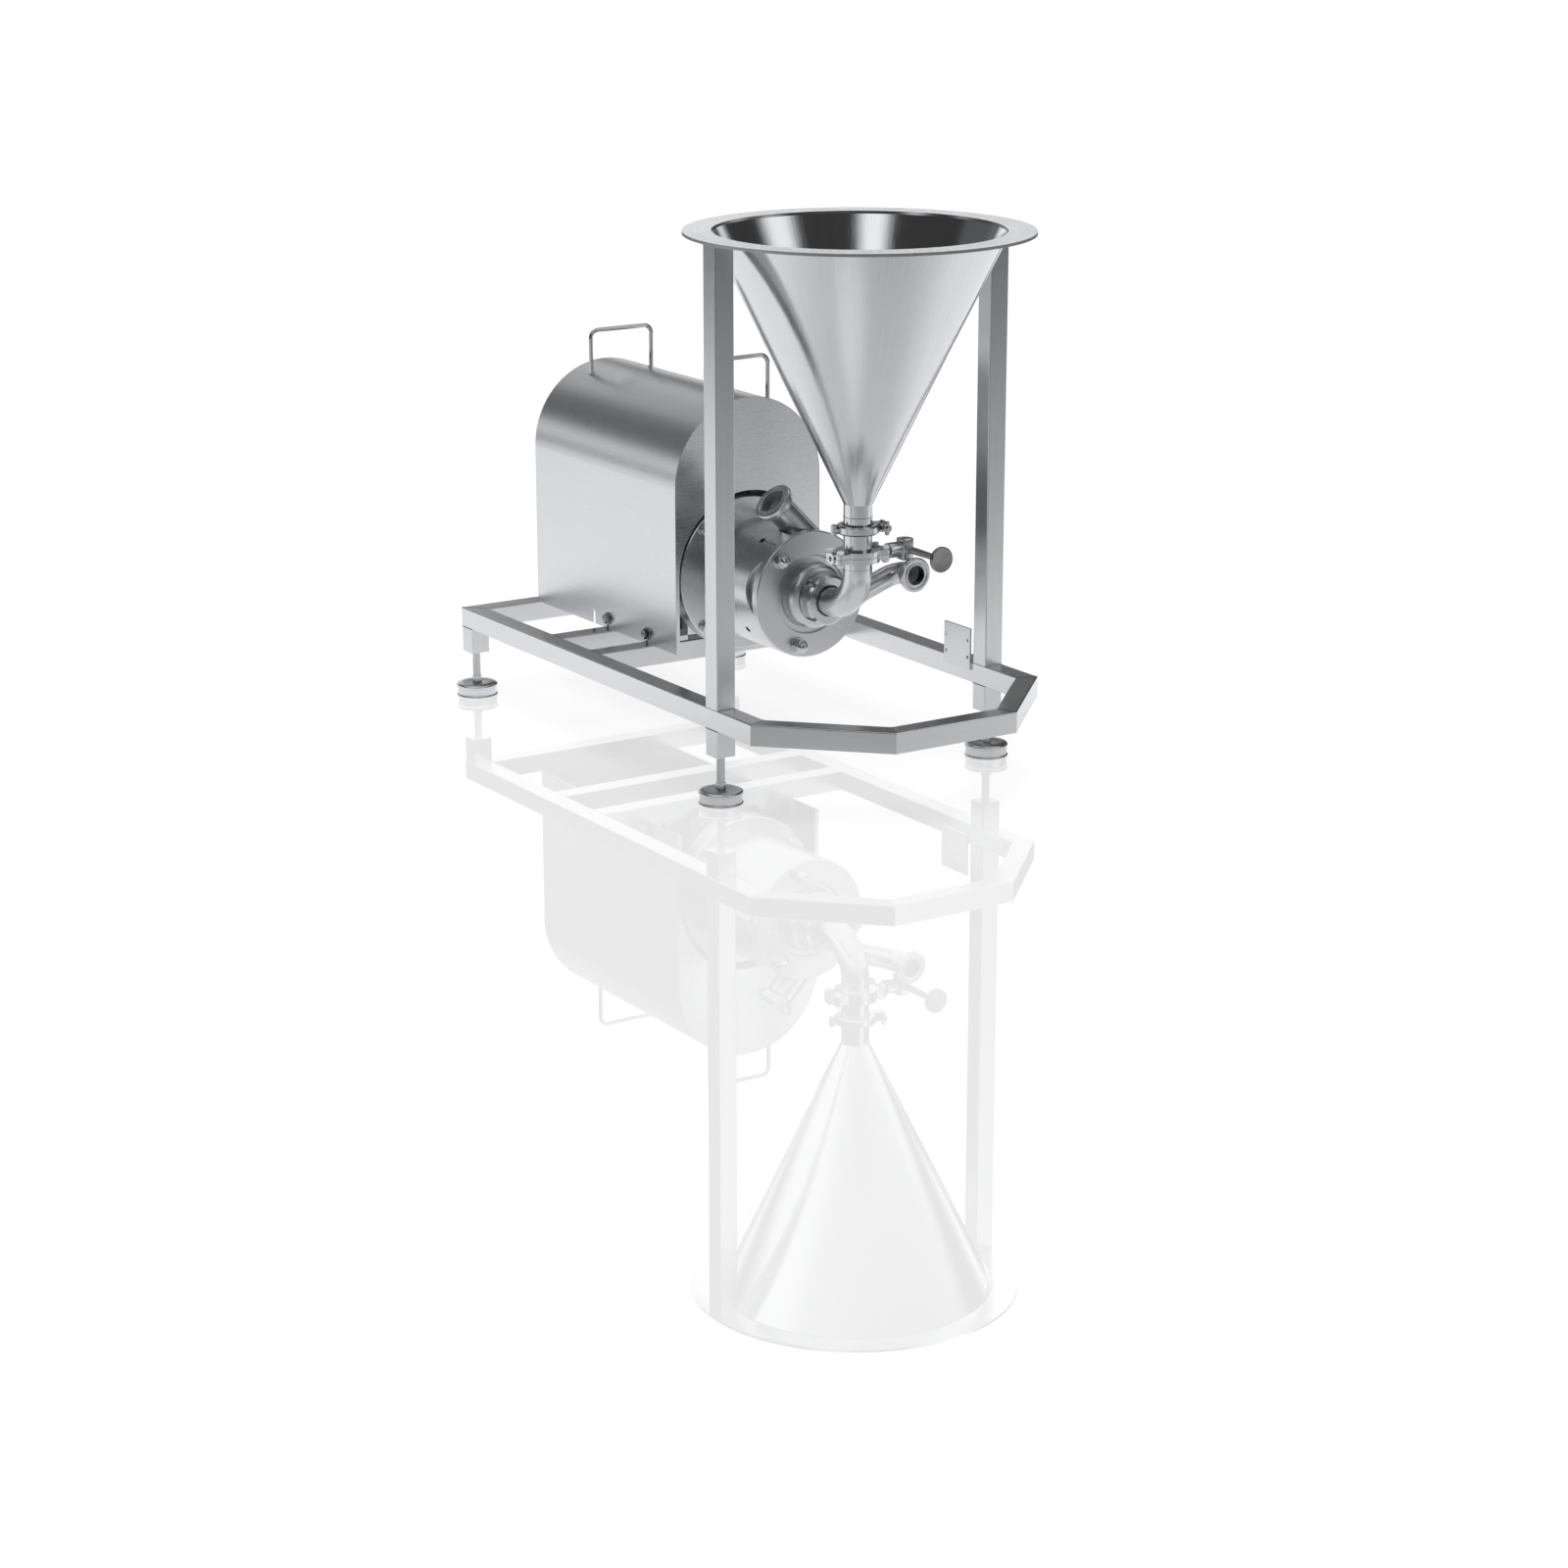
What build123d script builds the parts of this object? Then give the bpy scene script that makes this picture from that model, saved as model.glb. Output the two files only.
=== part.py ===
from build123d import *
import math
import os

# Powder dissolver: a hopper feeds powder through a butterfly valve into the suction bend of a centrifugal
# pump, which draws liquid through a slanted branch and throws the blend out of a tangential outlet.
#
# Millimetres. +Z is up, the front is at -Y and +X is to the right of someone who faces the front.
# The origin is on the floor, under the middle of the machine. Stations along the machine are given as
# distances ahead of the base frame's back face.

# Base frame, of square tube
TUBE = 40.0
TUBE_WALL = 2.0
TUBE_ROUND = 2.5
FRAME_WIDTH = 640.0
FRAME_LENGTH = 1275.0
NOSE_CUT = 187.5
REAR_CROSSBAR_AT = 320.0
FRONT_CROSSBAR_AT = 470.0
LEG_HEIGHT = 50.0
LEG_PLATE = 5.0
LEG_BUSH_RADIUS = 13.0
LEG_BUSH_HEIGHT = 24.0

# Levelling feet
FOOT_RADIUS = 41.5
FOOT_WAIST_RADIUS = 39.0
FOOT_HEIGHT = 27.0
FOOT_FLARE = 3.0
FOOT_CROWN = 9.0
FOOT_ROUND = 3.0
FOOT_SOCKET_DEPTH = 17.0
STEM_RADIUS = 8.0
STEM_SHOWN = 64.0
STEM_ENGAGED = 32.0
STEM_HEX = 17.0
STEM_HEX_HEIGHT = 13.0

# Hopper and its two posts
HOPPER_AT = 955.0
HOPPER_HEIGHT = 845.0
RIM_RADIUS = 320.0
RIM_BORE_RADIUS = 267.5
RIM_THICKNESS = 5.5
CONE_FOOT_HEIGHT = 344.0
CONE_WALL = 2.0
FERRULE_WELD_HEIGHT = 320.0

# Pipework
PIPE_RADIUS = 27.0
PIPE_WALL = 2.0
FERRULE_RADIUS = 32.0
FERRULE_FLANGE = 3.0
FERRULE_TAPER = 2.0
CLAMP_HEIGHT = 297.0
GASKET_THICKNESS = 2.0
GASKET_MARGIN = 1.0

# Two-piece clamp with a swing bolt
CLAMP_TURN = -13.0
CLAMP_RADIUS = 40.0
CLAMP_BORE_RADIUS = 29.5
CLAMP_DEPTH = 17.0
CLAMP_GAP = 1.0
CLAMP_CLEARANCE = 0.3
CLAMP_CHAMFER = 3.0
CLAMP_PIN_OFFSET = 47.0
CLAMP_LUG_RADIUS = 6.0
CLAMP_PIN_RADIUS = 3.0
CLAMP_PIN_HEAD_RADIUS = 4.5
CLAMP_PIN_HEAD = 2.0
SWING_BOLT_OFFSET = 51.0
SWING_PIVOT_BACK = 8.0
SWING_BOLT_RADIUS = 4.0
SWING_BOLT_REACH = 36.0
SWING_EYE_RADIUS = 5.5
SWING_EAR_MARGIN = 6.5
SWING_EYE_THICKNESS = 8.0
CLAMP_EAR_THICKNESS = 9.0
WING_BOSS_RADIUS = 7.5
WING_BOSS_LENGTH = 12.0
WING_SPAN = 26.0
WING_THICKNESS = 5.0
WING_ROUND = 2.6
WING_SETBACK = 2.0

# Butterfly valve
VALVE_HEIGHT = 247.0
VALVE_HALF_DEPTH = 11.0
VALVE_NECK_RADIUS = 41.0
VALVE_LUG_REACH = 58.0
VALVE_LUG_HALF_WIDTH = 25.0
VALVE_BOSS_RADIUS = 11.0
VALVE_BOSS_REACH = 61.0
VALVE_SPLIT = 0.6
VALVE_FLANGE_STEP = 2.0
VALVE_LUG_ROUND = 8.0
VALVE_SEAL_RADIUS = 33.0
VALVE_SEAL_DEPTH = 12.0
VALVE_SCREW_X = 50.0
VALVE_SCREW_Y = 17.0
VALVE_SCREW_RADIUS = 4.0
VALVE_SCREW_HEAD = 13.0
VALVE_SCREW_HEAD_HEIGHT = 6.0
VALVE_SCREW_TIP = 2.0
DISC_CLEARANCE = 0.3
DISC_THICKNESS = 6.0
DISC_EDGE = 2.0
VALVE_SHAFT_RADIUS = 5.0
VALVE_SHAFT_SETBACK = 4.0
RUNNING_CLEARANCE = 0.05
TOLERANCE = 0.01
HUB_RADIUS = 14.5
HUB_START = 66.0
HUB_END = 93.0
HUB_NECK_RADIUS = 10.5
LEVER_BLOCK_START = 94.0
LEVER_BLOCK_END = 118.0
LEVER_BLOCK_HEIGHT = 42.0
LEVER_BLOCK_DEPTH = 26.0
LEVER_BLOCK_ROUND = 5.0
LEVER_ARM_RADIUS = 7.0
LEVER_ARM_TIP_RADIUS = 5.5
LEVER_LENGTH = 112.0
KNOB_RADIUS = 24.0
KNOB_THICKNESS = 9.0
KNOB_ROUND = 3.0

# Suction bend with the liquid branch
BEND_RADIUS = 80.0
SUCTION_STRAIGHT = 24.0
BRANCH_RADIUS = 20.5
BRANCH_AT = 938.0
BRANCH_HEIGHT = 165.5
BRANCH_RISE = 20.0
BRANCH_REACH = 104.0
BRANCH_BEND_RADIUS = 36.0
BRANCH_END_STRAIGHT = 1.0
INLET_THREAD_RADIUS = 32.5
INLET_THREAD_LENGTH = 14.0
THREAD_NECK = 6.0
THREAD_CHAMFER = 2.0
THREAD_SHOULDER = 2.0

# Union nut on the suction side
SUCTION_THREAD_RADIUS = 39.0
SUCTION_THREAD_END = 846.0
SUCTION_SEAL_THICKNESS = 2.0
LINER_RADIUS = 34.0
LINER_DEPTH = 6.0
LINER_TAPER = 3.0
UNION_RADIUS = 48.0
UNION_LENGTH = 28.0
UNION_LIP = 8.0
UNION_SLOTS = 4
UNION_SLOT_WIDTH = 9.0
UNION_SLOT_DEPTH = 5.0
UNION_CHAMFER = 4.0
UNION_BORE_CLEARANCE = 3.0
UNION_SLOT_FIRST = 45.0

# Pump
SHAFT_HEIGHT = 142.0
COVER_AT = 798.0
COVER_RADIUS = 121.0
COVER_THICKNESS = 10.0
COVER_RECESS_RADIUS = 76.0
COVER_RECESS_WIDTH = 12.0
COVER_RECESS_DEPTH = 6.0
COVER_RECESS_TAPER = 2.0
COVER_SPIGOT = 6.0
COVER_DOME_RADIUS = 62.0
COVER_DOME_LENGTH = 34.0
COVER_DOME_WALL = 7.0
COVER_DOME_ROUND = 16.0
COVER_BOWL_ROUND = 12.0
COVER_CHAMFER = 2.0
CASING_RADIUS = 113.0
CASING_WALL = 4.0
CASING_BACK_AT = 708.0
CASING_FLANGE = 6.0
CASING_RING = 10.0
CASING_MOUTH_RADIUS = 88.0
FIT_CLEARANCE = 0.3
COVER_SEAL_WIDTH = 1.5
COVER_SEAL_DEPTH = 1.5
STUD_CIRCLE_RADIUS = 100.0
STUD_ANGLES = (133.0, 253.0, 13.0)
STUD_RADIUS = 8.0
STUD_CLEARANCE = 0.5
CAP_NUT_HEX = 24.0
CAP_NUT_HEX_HEIGHT = 13.0
CAP_NUT_DOME_RADIUS = 11.0
CAP_WASHER_RADIUS = 16.0
CAP_WASHER_THICKNESS = 3.0
OUTLET_AT = 750.0
OUTLET_ANGLE = 45.0
OUTLET_REACH = 165.0
OUTLET_CAST_BORE = 24.5
OUTLET_THREAD_RADIUS = 39.0
OUTLET_THREAD_LENGTH = 16.0
IMPELLER_RADIUS = 84.0
IMPELLER_WIDTH = 46.0
IMPELLER_BORE = 10.0
IMPELLER_BORE_DEPTH = 26.0
IMPELLER_HUB_LENGTH = 36.0
IMPELLER_HUB_ROUND = 15.0
IMPELLER_PLATE = 4.0
IMPELLER_GAP = 4.0
IMPELLER_HUB_RADIUS = 22.0
IMPELLER_VANES = 6
VANE_THICKNESS = 4.0
VANE_ARC_RADIUS = 60.0
VANE_TIP_WIDTH = 26.0
SEAL_BORE_RADIUS = 26.0
SEAL_SEAT_RADIUS = 32.0
SEAL_SEAT_SHOULDER = 4.0
SEAL_SEAT_CLEARANCE = 1.0
SEAL_FACE_GAP = 0.2
SEAL_RING_RADIUS = 24.0
SEAL_RING_LENGTH = 20.0
PUMP_SHAFT_RADIUS = 15.0
SHAFT_SLEEVE_RADIUS = 35.0
SHAFT_SLEEVE_END = 650.0
SHAFT_SLEEVE_GAP = 4.0

# Lantern between pump and motor
LANTERN_RADIUS = 121.0
LANTERN_FLANGE = 20.0
LANTERN_SPIGOT_RADIUS = 115.0
LANTERN_FLANGE_CHAMFER = 2.0
LANTERN_WEB = 8.0
LANTERN_WEB_BORE = 92.0
LANTERN_HOLE_RADIUS = 6.5
LANTERN_HOLE_AT = 735.0
LANTERN_HOLE_FIRST = 124.0
LANTERN_HOLES = 4
LANTERN_SLIT = 2.0
NOTCH_CLEARANCE = 3.0
SCOOP_ANGLE = 168.0
SCOOP_DEPTH = 24.0
SCOOP_RADIUS = 64.0
SET_SCREW_SINK = 3.5
SET_SCREW_SOCKET = 6.0
SET_SCREW_SOCKET_DEPTH = 3.0
FLANGE_RADIUS = 150.0
FLANGE_BOLT_CIRCLE_RADIUS = 135.5
FLANGE_BOLT_FIRST = 45.0
FLANGE_BOLT_RADIUS = 6.0
FLANGE_BOLT_HEX = 19.0
FLANGE_BOLT_HEAD = 8.0
FLANGE_WASHER_RADIUS = 14.0
FLANGE_WASHER_THICKNESS = 2.5

# Motor
MOTOR_FACE_AT = 554.0
MOTOR_FLANGE = 18.0
MOTOR_BACK_AT = 250.0
MOTOR_SPIGOT = 4.0
MOTOR_SHAFT_GAP = 1.0
MOTOR_BARREL_RADIUS = 112.0
MOTOR_BARREL_WALL = 8.0
MOTOR_RIB_HEIGHT = 13.0
MOTOR_RIB_THICKNESS = 4.0
MOTOR_RIB_PITCH = 15.0
RIB_FIELD_ANGLE = 42.0
RIB_QUARTERS = (0.0, 90.0, 180.0)
RIB_END_GAP = 12.0
FLANGE_EDGE = 6.0
BEARING_SEAT_WALL = 8.0
MOTOR_SHAFT_RADIUS = 19.0
MOTOR_SHAFT_LENGTH = 80.0
ROTOR_CORE_RADIUS = 66.0
ROTOR_CORE_LENGTH = 150.0
ROTOR_CORE_AT = 395.0
MOTOR_SHAFT_BACK_AT = 186.0
STATOR_BORE_RADIUS = 68.0
BEARING_RADIUS = 40.0
BEARING_WIDTH = 23.0
FOOT_HOLE_X = 108.0
FOOT_HOLE_SPACING = 140.0
FOOT_PLATE_THICKNESS = 14.0
FOOT_PLATE_WIDTH = 52.0
FOOT_PLATE_INNER = 82.0
FOOT_PLATE_OVERHANG = 22.0
FOOT_PAD = 10.0
FOOT_WEB = 12.0
FOOT_PAD_LENGTH = 34.0
FOOT_BOLT_RADIUS = 5.0
FOOT_BOLT_HEX = 17.0
FOOT_BOLT_HEAD = 7.0
FOOT_BOLT_TIP = 3.0
FAN_RADIUS = 95.0
FAN_HUB_RADIUS = 28.0
FAN_BLADES = 8
FAN_BLADE_THICKNESS = 3.0
FAN_DEPTH = 28.0
FAN_PLATE = 3.0
FAN_SETBACK = 2.0
FAN_BLADE_ROOT = 2.0
FAN_COVER_RADIUS = 122.0
FAN_COVER_WALL = 1.5
FAN_COVER_CHAMFER = 12.0
FAN_COVER_TAB = 12.0
FAN_COVER_TABS = 4
FAN_SPOKE = 6.0
FAN_SPOKES = 8
FAN_COVER_BACK_AT = 160.0
FAN_GRILLE_RINGS = 4
FAN_GRILLE_SLOT = 5.0
TERMINAL_BOX_LENGTH = 120.0
TERMINAL_BOX_WIDTH = 118.0
TERMINAL_BOX_HEIGHT = 58.0
TERMINAL_BOX_ROUND = 10.0
TERMINAL_BOX_CHAMFER = 3.0
TERMINAL_BOX_AT = 440.0
BOX_SEAT = 3.0

# Shroud over the motor
SHROUD_HALF_WIDTH = 164.0
SHROUD_SIDE_HEIGHT = 321.0
SHROUD_BACK_AT = 38.0
SHROUD_FRONT_AT = 579.0
SHEET = 2.0
CUTOUT_RADIUS = 156.0
CUTOUT_RISE = 6.0
SHROUD_SLOT_WIDTH = 10.6
SIDE_BOLT_HEIGHT = 20.0
SPARE_SLOT_AT = 264.0
SPARE_SLOT_HEIGHT = 28.0
VENT_ROWS = 7
VENT_COLUMNS = 2
VENT_LENGTH = 100.0
VENT_WIDTH = 8.0
VENT_PITCH = 24.0
VENT_COLUMN_PITCH = 130.0
VENT_CENTRE_HEIGHT = 170.0
HANDLE_STATIONS = (105.0, 540.0)
HANDLE_HALF_SPAN = 70.0
HANDLE_ROD_RADIUS = 4.25
HANDLE_RISE = 70.0
HANDLE_BEND_RADIUS = 16.0
BRACKET_WIDTH = 34.0
BRACKET_HEIGHT = 38.0
BRACKET_FOOT = 26.0
BRACKET_THICKNESS = 5.0
BRACKET_GAP = 0.2
SIDE_BOLT_RADIUS = 5.0
SIDE_BOLT_HEX = 17.0
SIDE_BOLT_HEAD = 7.0
SIDE_BOLT_LENGTH = 22.0
SIDE_WASHER_RADIUS = 12.5
SIDE_WASHER_THICKNESS = 2.5

# Bracket plate on the right rail
PLATE_LENGTH = 84.0
PLATE_HEIGHT = 81.0
PLATE_THICKNESS = 4.0
PLATE_RISE = 65.0
PLATE_GAP = 5.0
PLATE_HOLE_X = 70.0
PLATE_HOLE_Z = 33.0
PLATE_HOLE_RADIUS = 3.5

# Levels and stations that follow
FOOT_OVERHANG = FOOT_RADIUS - TUBE / 2
BACK_Y = (FRAME_LENGTH - FOOT_OVERHANG) / 2
LEG_BOTTOM_Z = FOOT_HEIGHT + STEM_SHOWN
FRAME_BOTTOM_Z = LEG_BOTTOM_Z + LEG_HEIGHT
DECK_Z = FRAME_BOTTOM_Z + TUBE
AXIS_Z = DECK_Z + SHAFT_HEIGHT
RIM_TOP_Z = DECK_Z + HOPPER_HEIGHT
RIM_BOTTOM_Z = RIM_TOP_Z - RIM_THICKNESS
CLAMP_Z = DECK_Z + CLAMP_HEIGHT
VALVE_Z = DECK_Z + VALVE_HEIGHT
PIPE_BORE = PIPE_RADIUS - PIPE_WALL
BRANCH_BORE = BRANCH_RADIUS - PIPE_WALL
RAIL_CENTRE_X = (FRAME_WIDTH - TUBE) / 2


def ahead(distance):
    """The y of a station that lies this far in front of the base frame's back face."""
    return BACK_Y - distance


HOPPER_Y = ahead(HOPPER_AT)
LEG_STATIONS = {"rear": TUBE / 2, "front": HOPPER_AT}
SIDES = {"left": -1, "right": 1}


def turned(points, arc=360.0):
    """A solid turned about Z from an outline of (radius, height) points."""
    outline = Polyline(*[(radius, 0, height) for radius, height in points], close=True)
    return revolve(make_face(outline), Axis.Z, arc)


def cylinder(radius, start, end):
    """A round bar about Z between two heights."""
    return Pos(0, 0, (start + end) / 2) * Cylinder(radius, end - start)


def ring(outer, inner, start, end):
    """A plain ring about Z between two heights."""
    return turned([(inner, start), (outer, start), (outer, end), (inner, end)])


def hexagon(across_flats, start, end):
    """A hexagonal bar about Z between two heights."""
    section = RegularPolygon(across_flats / 2, 6, major_radius=False)
    return Pos(0, 0, start) * extrude(section, end - start)


def block(x_range, y_range, z_range):
    """A box between two corners, given as ranges along X, Y and Z."""
    sizes = [high - low for low, high in (x_range, y_range, z_range)]
    middle = [(high + low) / 2 for low, high in (x_range, y_range, z_range)]
    return Pos(*middle) * Box(*sizes)


def on_hopper(shape):
    """Moves a shape that was drawn about Z onto the hopper's axis."""
    return Pos(0, HOPPER_Y, 0) * shape


def on_drive(shape):
    """Moves a shape whose Z runs ahead from the frame's back face onto the pump and motor axis."""
    return Pos(0, BACK_Y, AXIS_Z) * Rot(90, 0, 0) * shape


def save(name, *shapes):
    """Writes one node, of one solid or of several separate ones."""
    solids = [solid for shape in shapes for solid in shape.solids()]
    whole = solids[0] if len(solids) == 1 else Compound(children=solids)
    export_step(whole, f"parts/{name}.step")


def square_tube(length):
    """Square tube with rounded edges, standing on Z from 0 to its length."""
    outer = fillet(Rectangle(TUBE, TUBE).vertices(), TUBE_ROUND)
    bore = Rectangle(TUBE - 2 * TUBE_WALL, TUBE - 2 * TUBE_WALL)
    return extrude(outer - bore, length)


def inner_corner(before, here, after):
    """The corner of the frame's inner outline that faces a corner of the outer one."""
    normals = []
    for start, end in ((before, here), (here, after)):
        run = (Vector(*end) - Vector(*start)).normalized()
        normals.append(Vector(-run.Y, run.X))
    reach = TUBE / (1 + normals[0].dot(normals[1]))
    return Vector(*here) + (normals[0] + normals[1]) * reach


def mitred_rail(outer_start, outer_end, inner_start, inner_end):
    """One rail of the base frame, cut off along both of its mitres."""
    start, end = Vector(*outer_start), Vector(*outer_end)
    run = (end - start).normalized()
    inward = Vector(-run.Y, run.X)
    origin = start - run * TUBE + inward * (TUBE / 2) + Vector(0, 0, FRAME_BOTTOM_Z + TUBE / 2)
    tube = Plane(origin, x_dir=inward, z_dir=run).location * square_tube((end - start).length + 2 * TUBE)
    mitres = []
    for outer, inner in ((start, inner_start), (end, inner_end)):
        mitres.append((outer - (inner - outer) * 0.5, inner + (inner - outer) * 0.5))
    corners = [mitres[0][0], mitres[1][0], mitres[1][1], mitres[0][1]]
    plan = make_face(Polyline(*[(corner.X, corner.Y) for corner in corners], close=True))
    return tube & (Pos(0, 0, FRAME_BOTTOM_Z - TUBE) * extrude(plan, 3 * TUBE))


def make_base_frame():
    half = FRAME_WIDTH / 2
    shoulder = ahead(FRAME_LENGTH - NOSE_CUT)
    nose = ahead(FRAME_LENGTH)
    outer = [
        (-half, BACK_Y),
        (-half, shoulder),
        (-half + NOSE_CUT, nose),
        (half - NOSE_CUT, nose),
        (half, shoulder),
        (half, BACK_Y),
    ]
    names = ["left_rail", "nose_left_rail", "nose_front_rail", "nose_right_rail", "right_rail", "rear_rail"]
    count = len(outer)
    inner = [inner_corner(outer[i - 1], outer[i], outer[(i + 1) % count]) for i in range(count)]
    for i, name in enumerate(names):
        following = (i + 1) % count
        save(name, mitred_rail(outer[i], outer[following], inner[i], inner[following]))

    gap = FRAME_WIDTH - 2 * TUBE
    for name, station in (("rear_crossbar", REAR_CROSSBAR_AT), ("front_crossbar", FRONT_CROSSBAR_AT)):
        origin = (-gap / 2, ahead(station), FRAME_BOTTOM_Z + TUBE / 2)
        crossbar = Plane(origin, x_dir=(0, 1, 0), z_dir=(1, 0, 0)).location * square_tube(gap)
        for place in foot_hole_places():
            if abs(place.position.Y - ahead(station)) < TUBE / 2:
                pad = Box(FOOT_PLATE_WIDTH, FOOT_PAD_LENGTH, FOOT_PAD)
                crossbar += Pos(place.position.X, ahead(station), DECK_Z + FOOT_PAD / 2) * pad
                crossbar -= place * cylinder(FOOT_BOLT_RADIUS, -2 * TUBE_WALL, FOOT_PAD + 1)
        save(name, crossbar)

    legs = []
    for station in LEG_STATIONS.values():
        for side in SIDES.values():
            legs.append(Pos(side * RAIL_CENTRE_X, ahead(station), LEG_BOTTOM_Z) * make_leg_block())
    save("leg_blocks", *legs)

    for name, side in SIDES.items():
        post = square_tube(RIM_BOTTOM_Z - DECK_Z)
        save(f"{name}_post", Pos(side * RAIL_CENTRE_X, HOPPER_Y, DECK_Z) * post)


def make_leg_block():
    """A stub of tube with a bottom plate and the threaded bush that takes a foot's stem."""
    inside = TUBE - 2 * TUBE_WALL
    leg = square_tube(LEG_HEIGHT)
    leg += Pos(0, 0, LEG_PLATE / 2) * Box(inside, inside, LEG_PLATE)
    leg += cylinder(LEG_BUSH_RADIUS, 0, LEG_BUSH_HEIGHT)
    return leg - cylinder(STEM_RADIUS + RUNNING_CLEARANCE, -1, LEG_BUSH_HEIGHT + 1)


def make_feet():
    base = turned([
        (0, 0),
        (FOOT_RADIUS, 0),
        (FOOT_RADIUS, FOOT_FLARE),
        (FOOT_WAIST_RADIUS, FOOT_FLARE + 1),
        (FOOT_WAIST_RADIUS, FOOT_HEIGHT - FOOT_CROWN),
        (FOOT_RADIUS, FOOT_HEIGHT - FOOT_CROWN + 1),
        (FOOT_RADIUS, FOOT_HEIGHT - FOOT_ROUND),
        (FOOT_RADIUS - FOOT_ROUND, FOOT_HEIGHT),
        (0, FOOT_HEIGHT),
    ])
    socket = FOOT_HEIGHT - FOOT_SOCKET_DEPTH
    base -= cylinder(STEM_RADIUS, socket, FOOT_HEIGHT + 1)
    stem = cylinder(STEM_RADIUS, socket, LEG_BOTTOM_Z + STEM_ENGAGED)
    stem += hexagon(STEM_HEX, FOOT_HEIGHT, FOOT_HEIGHT + STEM_HEX_HEIGHT)
    for end, station in LEG_STATIONS.items():
        for name, side in SIDES.items():
            place = Pos(side * RAIL_CENTRE_X, ahead(station), 0)
            save(f"foot_{end}_{name}", place * base, place * stem)


def make_bracket_plate():
    """The plate with four holes that is welded to the right rail's inner face, behind the post."""
    face_x = FRAME_WIDTH / 2 - TUBE
    front = ahead(HOPPER_AT - TUBE / 2 - PLATE_GAP)
    top = DECK_Z + PLATE_RISE
    x_range = (face_x - PLATE_THICKNESS, face_x)
    plate = block(x_range, (front, front + PLATE_LENGTH), (top - PLATE_HEIGHT, top))
    centre = Pos(face_x, front + PLATE_LENGTH / 2, top - PLATE_HEIGHT / 2) * Rot(0, 90, 0)
    for place in GridLocations(PLATE_HOLE_Z, PLATE_HOLE_X, 2, 2):
        plate -= centre * place * Cylinder(PLATE_HOLE_RADIUS, 4 * PLATE_THICKNESS)
    save("bracket_plate", plate)


def ferrule(face, way, weld):
    """A weld ferrule: way is +1 where its neck runs up from its face and -1 where it runs down."""
    return turned([
        (PIPE_BORE, face),
        (FERRULE_RADIUS, face),
        (FERRULE_RADIUS, face + way * FERRULE_FLANGE),
        (PIPE_RADIUS, face + way * (FERRULE_FLANGE + FERRULE_TAPER)),
        (PIPE_RADIUS, weld),
        (PIPE_BORE, weld),
    ])


def make_hopper():
    rim = ring(RIM_RADIUS, RIM_BORE_RADIUS, RIM_BOTTOM_Z, RIM_TOP_Z)
    save("hopper_rim", on_hopper(rim))

    foot = DECK_Z + CONE_FOOT_HEIGHT
    weld = DECK_Z + FERRULE_WELD_HEIGHT
    lean = math.atan2(RIM_BORE_RADIUS - PIPE_BORE, RIM_BOTTOM_Z - foot)
    side_wall = CONE_WALL / math.cos(lean)
    cone = turned([
        (PIPE_BORE, weld),
        (PIPE_RADIUS, weld),
        (PIPE_RADIUS, foot),
        (RIM_BORE_RADIUS + side_wall, RIM_BOTTOM_Z),
        (RIM_BORE_RADIUS, RIM_BOTTOM_Z),
        (PIPE_BORE, foot),
    ])
    cone += ferrule(CLAMP_Z + GASKET_THICKNESS / 2, 1, weld)
    save("hopper_cone", on_hopper(cone))

    half = GASKET_THICKNESS / 2
    gasket = ring(FERRULE_RADIUS - GASKET_MARGIN, PIPE_BORE, CLAMP_Z - half, CLAMP_Z + half)
    save("clamp_gasket", on_hopper(gasket))


def bar(radius, start, end):
    """A round bar between two points."""
    start, end = Vector(*start), Vector(*end)
    run = end - start
    return Plane(start, z_dir=run.normalized()).location * cylinder(radius, 0, run.length)


def clamp_ring():
    """The whole clamp ring about Z, with the groove that draws the two ferrules together."""
    half = CLAMP_DEPTH / 2
    seat = GASKET_THICKNESS / 2 + FERRULE_FLANGE
    groove = FERRULE_RADIUS + CLAMP_CLEARANCE
    body = turned([
        (CLAMP_BORE_RADIUS, -half),
        (CLAMP_RADIUS - CLAMP_CHAMFER, -half),
        (CLAMP_RADIUS, -half + CLAMP_CHAMFER),
        (CLAMP_RADIUS, half - CLAMP_CHAMFER),
        (CLAMP_RADIUS - CLAMP_CHAMFER, half),
        (CLAMP_BORE_RADIUS, half),
    ])
    body -= turned([
        (0, -seat - FERRULE_TAPER),
        (CLAMP_BORE_RADIUS, -seat - FERRULE_TAPER),
        (groove, -seat - CLAMP_CLEARANCE),
        (groove, seat + CLAMP_CLEARANCE),
        (CLAMP_BORE_RADIUS, seat + FERRULE_TAPER),
        (0, seat + FERRULE_TAPER),
    ])
    return body


def clamp_hinge_lug(side):
    """The hinge lug of one half, bored for the pin: side is 1 on the rear half and -1 on the front one."""
    half = CLAMP_DEPTH / 2
    lug = Pos(-CLAMP_PIN_OFFSET, 0, 0) * cylinder(CLAMP_LUG_RADIUS, -half, half)
    lug += block((-CLAMP_PIN_OFFSET, -CLAMP_RADIUS + CLAMP_CHAMFER),
                 sorted((side * CLAMP_GAP, side * CLAMP_LUG_RADIUS)), (-half, half))
    return lug - Pos(-CLAMP_PIN_OFFSET, 0, 0) * cylinder(CLAMP_PIN_RADIUS, -half, half)


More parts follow.
